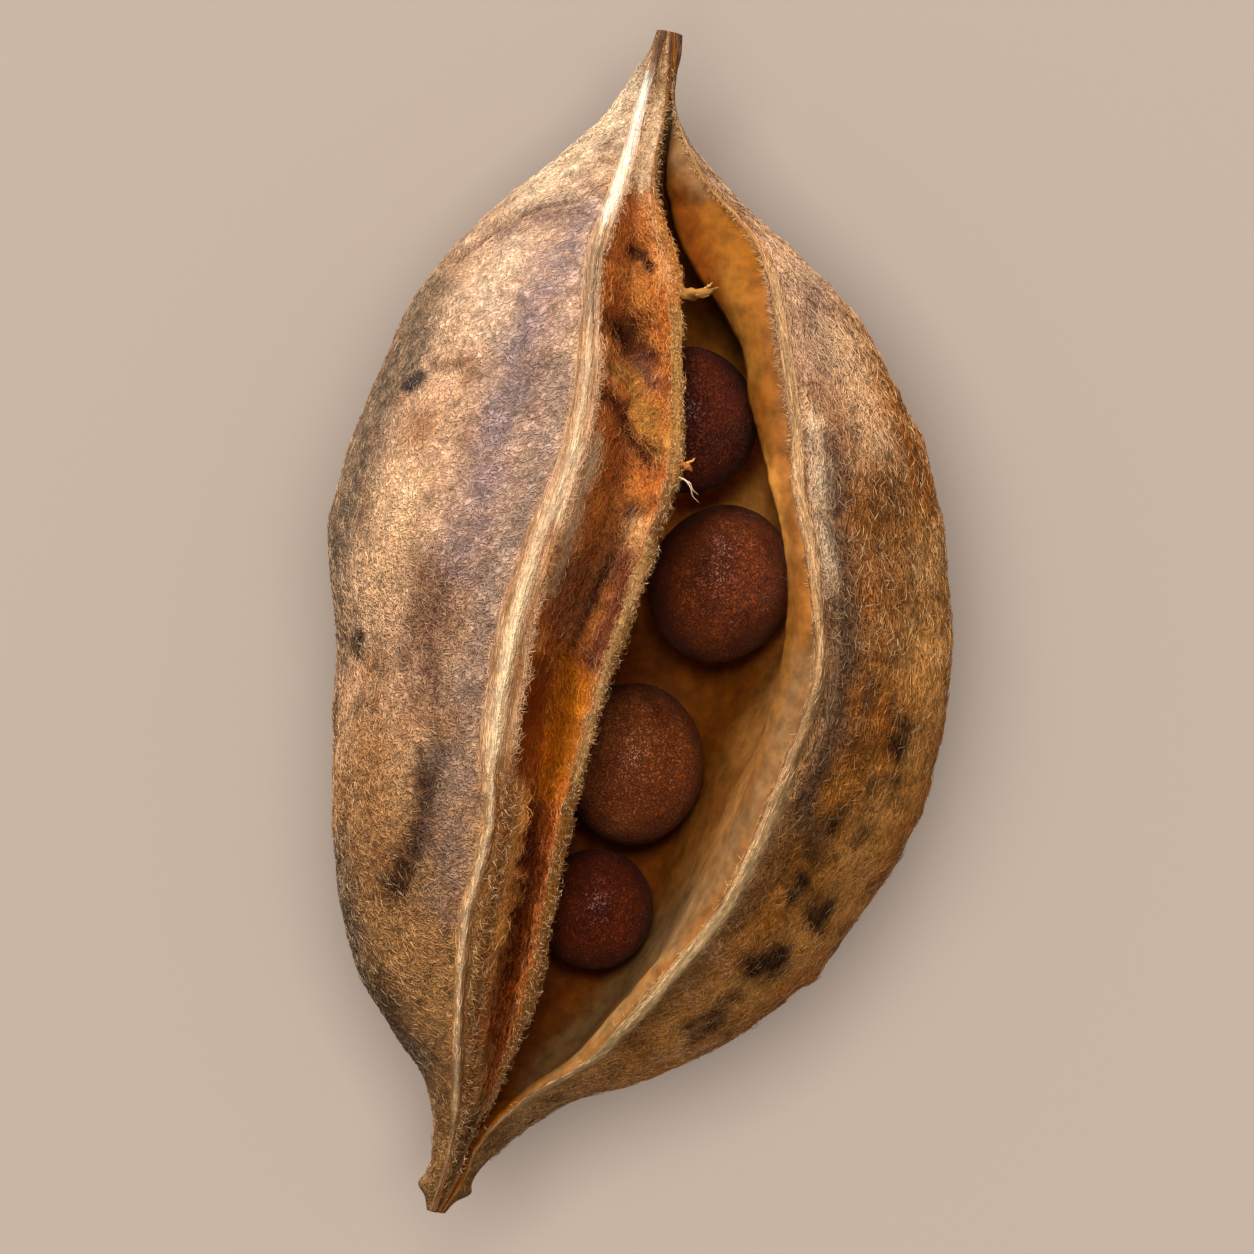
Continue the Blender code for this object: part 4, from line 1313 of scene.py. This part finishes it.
@dataclass(frozen=True)
class FibreCoat:
    """Short fibres grown on part of the husk: closed spindles that bend at their rings.

    Lengths are in millimetres. The lean is the fibres' common direction from +Y towards +X,
    and stray is how far each may turn from it, both in degrees.
    """

    name: str
    count: int
    length: float
    thickness: float
    lift: float
    lean: float
    stray: float
    bend: float
    rings: int
    pale: float
    seed: int

    def grow(self, husk: Husk, density: Array, material: bpy.types.Material) -> bpy.types.Object:
        """Grows the coat.

        Args:
            husk: What it grows on.
            density: How thickly it grows at each point of the husk's grid.
            material: Finish of the fibres.

        Returns:
            The piece.
        """
        chance = np.random.default_rng(self.seed)
        roots, normals, tangents, tint = self.roots(husk, density, chance)
        n = len(roots)
        sideways = np.cross(tangents, normals)
        turn = np.radians(self.lean + self.stray * chance.uniform(-1, 1, (n, 1)))
        way = tangents * np.cos(turn) + sideways * np.sin(turn)
        side = np.cross(normals, way)
        length = self.length * chance.uniform(0.55, 1.35, (n, 1))
        curl = self.bend * chance.uniform(-1, 1, (n, 1)) * length
        lift = self.lift * chance.uniform(0.3, 1.6, (n, 1))
        knots = np.arange(self.rings + 2) / (self.rings + 1)
        wave = math.pi * (1 if self.rings == 1 else 1.6)
        line = [
            roots + way * length * t + side * curl * math.sin(wave * t)
            + normals * (lift * math.sin(math.pi * min(t * 1.05, 1)) + self.lift * 0.4 * t - FIBRE_ROOT_DEPTH)
            for t in knots
        ]
        rings = []
        for t, centre in zip(knots[1:-1], line[1:-1]):
            radius = self.thickness / 2 * chance.uniform(0.7, 1.3, (n, 1)) * (1.15 - 0.35 * t)
            rings += [
                centre + (side * math.cos(a) + normals * math.sin(a)) * radius
                for a in (math.pi / 2, math.pi * 7 / 6, math.pi * 11 / 6)
            ]
        places = np.stack([line[0], *rings, line[-1]], axis=1)
        places[..., 2] = np.maximum(places[..., 2], 0.01)
        per = places.shape[1]
        triangles = (np.arange(n) * per)[:, None, None] + self.spindle()[None]
        tint = tint * chance.uniform(0.7, 1.4, (n, 1))
        tint = tint + (linear(FIBRE_GLINT) - tint) * self.pale * chance.uniform(0, 1, (n, 1)) ** 4
        tints = np.repeat(np.clip(tint, 0, 1)[:, None], per, axis=1)
        places, triangles, tints = (part.reshape(-1, 3) for part in (places, triangles, tints))
        return mesh_piece(self.name, places, triangles, tints, [material])

    def spindle(self) -> Array:
        """Triangles of one fibre: a fan at the root, bands between rings and a fan at the tip.

        Returns:
            Three point numbers for each face.
        """
        faces = [(1 + (k + 1) % 3, 1 + k, 0) for k in range(3)]
        for r in range(self.rings - 1):
            low, high = 1 + 3 * r, 4 + 3 * r
            for k in range(3):
                m = (k + 1) % 3
                faces += [(low + k, low + m, high + m), (low + k, high + m, high + k)]
        top = 1 + 3 * (self.rings - 1)
        faces += [(top + k, top + (k + 1) % 3, 1 + 3 * self.rings) for k in range(3)]
        return np.array(faces)

    def roots(self, husk: Husk, density: Array, chance: np.random.Generator) -> tuple[Array, ...]:
        """Random places on the grid, as likely as area times density, with their directions.

        Args:
            husk: What the coat grows on.
            density: How thickly it grows at each point of the grid.
            chance: Source of random draws.

        Returns:
            Places, normals, directions along the pod, and colours.
        """
        p, n = husk.surface.points, husk.surface.normals
        down, around = np.diff(p, axis=0), np.roll(p, -1, axis=1) - p
        area = np.linalg.norm(np.cross(down, around[:-1]), axis=-1) * density[:-1]
        pick = chance.choice(area.size, self.count, p=area.ravel() / area.sum())
        i, j = np.unravel_index(pick, area.shape)
        k = (j + 1) % p.shape[1]
        u, v = chance.random((2, self.count, 1))

        def blend(grid: Array) -> Array:
            """The grid's value between four neighbouring points."""
            near = grid[i, j] * (1 - u) + grid[i, k] * u
            return near * (1 - v) + (grid[i + 1, j] * (1 - u) + grid[i + 1, k] * u) * v

        normals = blend(n)
        normals /= np.linalg.norm(normals, axis=1, keepdims=True)
        tangents = down[i, j]
        tangents = tangents - normals * np.sum(tangents * normals, axis=1, keepdims=True)
        tangents /= np.linalg.norm(tangents, axis=1, keepdims=True)
        return blend(p), normals, tangents, blend(husk.tint)


def grow_coats(husk: Husk) -> list[bpy.types.Object]:
    """Grows every fibre coat of the husk.

    Args:
        husk: What they grow on.

    Returns:
        The pieces.
    """
    # Single plant fibres, smooth and slightly glossy, in the tint of the skin below them
    fibre = Finish("plant_fibre", 0.6, 0.15).material()
    surface = husk.surface
    x, y, z, t, along = surface.x, surface.y, surface.z, surface.t, surface.y[:, :1]
    front = 0.35 + 0.65 * smooth_step(12, 20, z)
    clumps = 0.2 + 0.8 * smooth_step(-0.25, 0.45, layered_noise(surface.flat, 3.2, 91))
    beside_left = smooth_step(-0.4, -1.4, x - SHAPE.left_rim_outer.at(along))
    beside_right = smooth_step(0.7, 1.6, x - SHAPE.right_rim.at(along))
    skin = surface.share_of(Zone.SKIN) + surface.share_of(Zone.RIGHT_SKIN)
    skin = skin * front * clumps * (beside_left + beside_right)
    left, right, high, low = x < 4, x >= 4, y > 2, y <= 2
    septum, band, edge = map(surface.on, (Stretch.SEPTUM_EDGE, Stretch.LEFT_RIM, Stretch.RIGHT_RIM))
    rims = np.maximum(surface.share_of(Zone.RIM) - septum, 0)
    matted = surface.share_of(Zone.FURROW) * np.clip(1.15 - 1.4 * bell(y + 8.5, 5.5), 0, 1) * (z < 35.2)
    inner_band = band * ((t < 0.5) * smooth_step(-10, -15, y) + (t < 0.1) * (y > -12))
    inner_edge = edge * (t > 0.6) * (0.03 + smooth_step(14, 24, y))
    middle = smooth_step(48, 45, np.abs(y))
    # Each row is a density and then the coat's fields in order
    return [FibreCoat(*sizes).grow(husk, density * middle, fibre) for density, *sizes in (
        (skin * left * high, "felt_left_upper", 8000, 1.0, 0.055, 0.06, 40, 60, 0.4, 2, 0.4, 101),
        (skin * left * low, "felt_left_lower", 11000, 1.0, 0.06, 0.08, 10, 80, 0.4, 2, 0.4, 102),
        (skin * right * high, "felt_right_upper", 9500, 1.3, 0.05, 0.11, -16, 50, 0.4, 2, 0.6, 103),
        (skin * right * low, "felt_right_lower", 8500, 1.15, 0.048, 0.09, -16, 60, 0.45, 2, 0.25, 107),
        (matted, "furrow_fibres", 7000, 1.15, 0.04, 0.2, 0, 180, 0.45, 3, 0.25, 104),
        (rims, "rim_fibres", 5000, 1.6, 0.06, 0.02, 0, 7, 0.03, 1, 0.5, 105),
        (inner_edge, "rim_fringe", 1600, 0.8, 0.05, 0.05, -105, 45, 0.2, 1, 0.6, 108),
        (septum, "septum_fringe", 4200, 0.7, 0.042, 0.15, 60, 130, 0.4, 1, 1.0, 106),
        (inner_band, "rim_tufts", 2800, 0.85, 0.045, 0.14, 90, 90, 0.4, 2, 0.7, 109),
    )]


@dataclass(frozen=True)
class Strand:
    """A torn strand on the septum's edge: a ragged tube that thins along its path.

    The path is in millimetres from the edge's point at the place along the pod.
    """

    name: str
    along: float
    thickness: float
    ragged: float
    colour: str
    seed: int
    path: tuple[tuple[float, float, float], ...]
    sides: int = 12
    rings: int = 48

    def build(self, husk: Husk, material: bpy.types.Material) -> bpy.types.Object:
        """Makes the strand.

        Args:
            husk: What it is torn from.
            material: Its finish.

        Returns:
            The piece.
        """
        surface = husk.surface
        row = np.argmin(np.abs(surface.y[:, 0] - self.along))
        root = surface.points[row, np.argmax(surface.stretch == Stretch.SEPTUM_EDGE.value[0])]
        t = np.linspace(0, 1, self.rings)
        knots = np.linspace(0, 1, len(self.path))
        line = np.stack([Guide(list(zip(knots, axis))).at(t) for axis in np.array(self.path).T], axis=-1)
        way = np.gradient(line, axis=0)
        way /= np.linalg.norm(way, axis=1, keepdims=True)
        side = np.cross(way, (0, 0, 1.0))
        side /= np.linalg.norm(side, axis=1, keepdims=True)
        over = np.cross(side, way)
        a = np.linspace(0, 2 * math.pi, self.sides, endpoint=False)[None, :, None]
        spokes = side[:, None] * np.cos(a) + over[:, None] * np.sin(a)
        smooth = line[:, None] + spokes * self.thickness / 2
        rough = noise(turned(smooth, 70, (3.0, 1.0)), self.thickness / 3, self.seed)
        radius = self.thickness / 2 * (1 - 0.75 * t**2)[:, None] * (1 + self.ragged * rough)
        ring = root + line[:, None] + spokes * radius[..., None]
        places = np.vstack([ring.reshape(-1, 3), root + line[0], root + line[-1]])
        tint = linear(self.colour) * np.append(0.8 + 0.35 * rough.ravel(), (0.8, 0.8))[:, None]
        return mesh_piece(self.name, places, tube_faces(self.rings, self.sides), tint, [material])


STRANDS = (
    Strand("barb_upper", 28.6, 0.8, 0.9, "A06C30", 301,
           ((-0.9, 0.2, -0.4), (0.5, -0.3, 0.1), (1.5, -0.1, 0.3), (2.2, 0.3, 0.3), (2.9, 0.7, 0.1))),
    Strand("barb_fork", 28.6, 0.4, 0.8, "B07C40", 302,
           ((0.9, -0.2, 0.2), (1.7, -0.25, 0.4), (2.3, -0.05, 0.3))),
    Strand("barb_splinter", 28.6, 0.26, 0.6, "BC8C50", 303,
           ((1.6, 0.1, 0.3), (2.1, 0.65, 0.4), (2.35, 1.0, 0.3))),
    Strand("barb_lower", 14.3, 0.6, 0.9, "9C5C24", 304,
           ((-0.5, 0.0, -0.2), (0.3, 0.0, 0.0), (0.7, -0.1, 0.1), (1.0, -0.3, 0.0))),
    Strand("barb_lower_tip", 14.3, 0.25, 0.5, "D8974C", 305,
           ((0.3, 0.1, 0.0), (0.8, 0.5, 0.2), (1.0, 0.8, 0.1))),
    Strand("hanging_fibre", 13.1, 0.13, 0.2, "EBC9A4", 306,
           ((-0.2, 0.2, 0.0), (0.5, 0.0, 0.3), (1.0, -0.5, 0.2), (1.3, -1.1, -0.1), (1.9, -1.5, -0.5))),
    Strand("hanging_fibre_fork", 13.1, 0.1, 0.2, "E3BC94", 307,
           ((0.5, 0.0, 0.3), (0.9, -0.15, 0.3), (1.2, -0.6, 0.2), (1.7, -0.9, 0.0))),
)


@dataclass(frozen=True)
class Seed:
    """One seed: a round body with shallow dents, painted lighter on top and darker underneath as painted
    shade. Sizes are in millimetres.
    """

    node: str
    across: float
    along: float
    radii: tuple[float, float, float]
    turn: float
    dark: str
    light: str
    seed: int
    sides: int = 112
    rings: int = 72

    def build(self, material: bpy.types.Material) -> bpy.types.Object:
        """Makes the seed in the place of its solid.

        Args:
            material: Its seed coat.

        Returns:
            The piece.
        """
        low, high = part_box(self.node)
        height = (low[2] + high[2]) / 2 / MM
        u = np.linspace(0, 2 * math.pi, self.sides, endpoint=False)[None, :]
        v = np.linspace(0, math.pi, self.rings + 2)[1:-1, None]
        ball = np.stack([np.sin(v) * np.cos(u), np.sin(v) * np.sin(u), np.cos(v) * np.ones_like(u)], axis=-1)
        ball = np.vstack([ball.reshape(-1, 3), (0, 0, 1), (0, 0, -1)])
        dents = 1 - 0.02 * layered_noise(ball * 5, 3.0, self.seed) - 0.006
        places = ball * self.radii * dents[:, None]
        a = math.radians(self.turn)
        x = places[:, 0] * math.cos(a) - places[:, 1] * math.sin(a) + self.across
        y = places[:, 0] * math.sin(a) + places[:, 1] * math.cos(a) + self.along
        places = np.stack([x, y, places[:, 2] + height], axis=1)
        share = np.clip(0.5 + 0.7 * layered_noise(ball * 5, 1.6, self.seed + 5), 0, 1)[:, None]
        tint = linear(self.dark) * (1 - share) + linear(self.light) * share
        # Painted shade: darker towards the underside, lighter on top
        tint = tint * (0.5 + 0.62 * smooth_step(0.15, 0.95, ball[:, 2:]))
        return mesh_piece(f"{self.node}_coat", places, tube_faces(self.rings, self.sides), tint, [material])


SEEDS = (
    Seed("seed_1", 8.0, 18.8, (5.8, 6.2, 5.7), 20, "5A1D08", "762C0C", 201),
    Seed("seed_2", 13.3, 5.9, (6.1, 6.8, 6.0), -12, "6C2C10", "984818", 202),
    Seed("seed_3", 9.0, -10.4, (6.0, 6.9, 6.1), 8, "843C1A", "B06028", 203),
    Seed("seed_4", 8.3, -22.9, (4.9, 5.1, 4.8), 0, "601F05", "843208", 204),
)


@dataclass(frozen=True)
class Studio:
    """Pale floor, soft light from the upper left, and the camera over the pod.

    Places and the floor's size are in metres, the lens and its frame in millimetres, and the
    roll in degrees.
    """

    floor_size: float = 4.0
    floor_colour: str = "AE9F93"
    lamp_colour: tuple[float, float, float] = (1.0, 0.97, 0.93)
    sky_colour: tuple[float, float, float, float] = (1.0, 0.98, 0.95, 1)
    sky_strength: float = 0.28
    lens_length: float = 150.0
    frame_width: float = 36.0
    distance: float = 0.4525
    aim: tuple[float, float] = (-0.0007, 0.0008)
    roll: float = 11.29

    def build(self) -> None:
        """Makes the floor, lights, world and camera."""
        self.build_lights(self.build_floor())
        self.build_camera()
        bpy.context.scene.view_settings.view_transform = "Standard"

    def build_floor(self) -> bpy.types.Object:
        """A plain matt sheet under the pod.

        Returns:
            The floor.
        """
        half = self.floor_size / 2
        corners = [(-half, -half, 0), (half, -half, 0), (half, half, 0), (-half, half, 0)]
        mesh = bpy.data.meshes.new("floor")
        mesh.from_pydata(corners, [], [(0, 1, 2, 3)])
        # Pale warm paper without shine
        mesh.materials.append(PaperFinish("matt_paper", 0.95, 0.1, self.floor_colour).material())
        floor = bpy.data.objects.new("floor", mesh)
        bpy.context.scene.collection.objects.link(floor)
        return floor

    def build_lights(self, floor: bpy.types.Object) -> None:
        """Lights the pod from the upper left and the floor from above.

        The first three lamps keep off the floor, so that the pod throws no hard shadow on it,
        and the last lights nothing else.

        Args:
            floor: The sheet under the pod.
        """
        for name, power, size, place, floor_state in (
            ("key", 14.7, 0.36, (-0.38, 0.66, 0.62), "EXCLUDE"),
            ("fill", 4.5, 0.24, (-0.07, 0.22, 0.98), "EXCLUDE"),
            ("low_side", 1.2, 0.5, (0.6, -0.55, 0.45), "EXCLUDE"),
            ("floor_wash", 22.0, 0.9, (-0.1, 0.1, 1.3), "INCLUDE"),
        ):
            lamp = bpy.data.lights.new(name, "AREA")
            lamp.energy, lamp.size = power, size
            lamp.color = self.lamp_colour
            holder = bpy.data.objects.new(name, lamp)
            holder.location = place
            away = np.array(place) - (0, 0, 0.02)
            away /= np.linalg.norm(away)
            holder.rotation_euler = (math.acos(away[2]), 0, math.atan2(away[0], -away[1]))
            bpy.context.scene.collection.objects.link(holder)
            lit = bpy.data.collections.new(f"{name}_reach")
            lit.objects.link(floor)
            lit.collection_objects[0].light_linking.link_state = floor_state
            holder.light_linking.receiver_collection = lit
        world = bpy.data.worlds.new("soft_sky")
        world.use_nodes = True
        sky = world.node_tree.nodes["Background"].inputs
        sky["Color"].default_value = self.sky_colour
        sky["Strength"].default_value = self.sky_strength
        bpy.context.scene.world = world

    def build_camera(self) -> None:
        """Looks straight down, turned so that the pod leans as in the picture."""
        lens = bpy.data.cameras.new("camera")
        lens.lens, lens.sensor_width = self.lens_length, self.frame_width
        camera = bpy.data.objects.new("camera", lens)
        camera.location = (*self.aim, self.distance)
        camera.rotation_euler = (0, 0, math.radians(self.roll))
        bpy.context.scene.collection.objects.link(camera)
        bpy.context.scene.camera = camera


def main() -> None:
    """Builds the pod's pieces and the studio round them."""
    logging.basicConfig(level=logging.INFO, format="%(name)s %(message)s")
    husk = Husk()
    surface = husk.build()
    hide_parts("husk")
    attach(surface, "root")
    for coat in grow_coats(husk):
        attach(coat, "root")
    # Torn ends of the septum, duller and rougher than single fibres
    torn = Finish("torn_fibre", 0.7, 0.15).material()
    for strand in STRANDS:
        piece = strand.build(husk, torn)
        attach(piece, "root")
    # Hard dark coat, wrinkled, with soft glints on its ridges
    seed_coat = SeedCoatFinish("wrinkled_seed_coat", 0.46, 0.4, 0.38, 0.17).material()
    for seed in SEEDS:
        piece = seed.build(seed_coat)
        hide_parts(seed.node)
        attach(piece, "root")
    Studio().build()


if __name__ == "__main__":
    main()
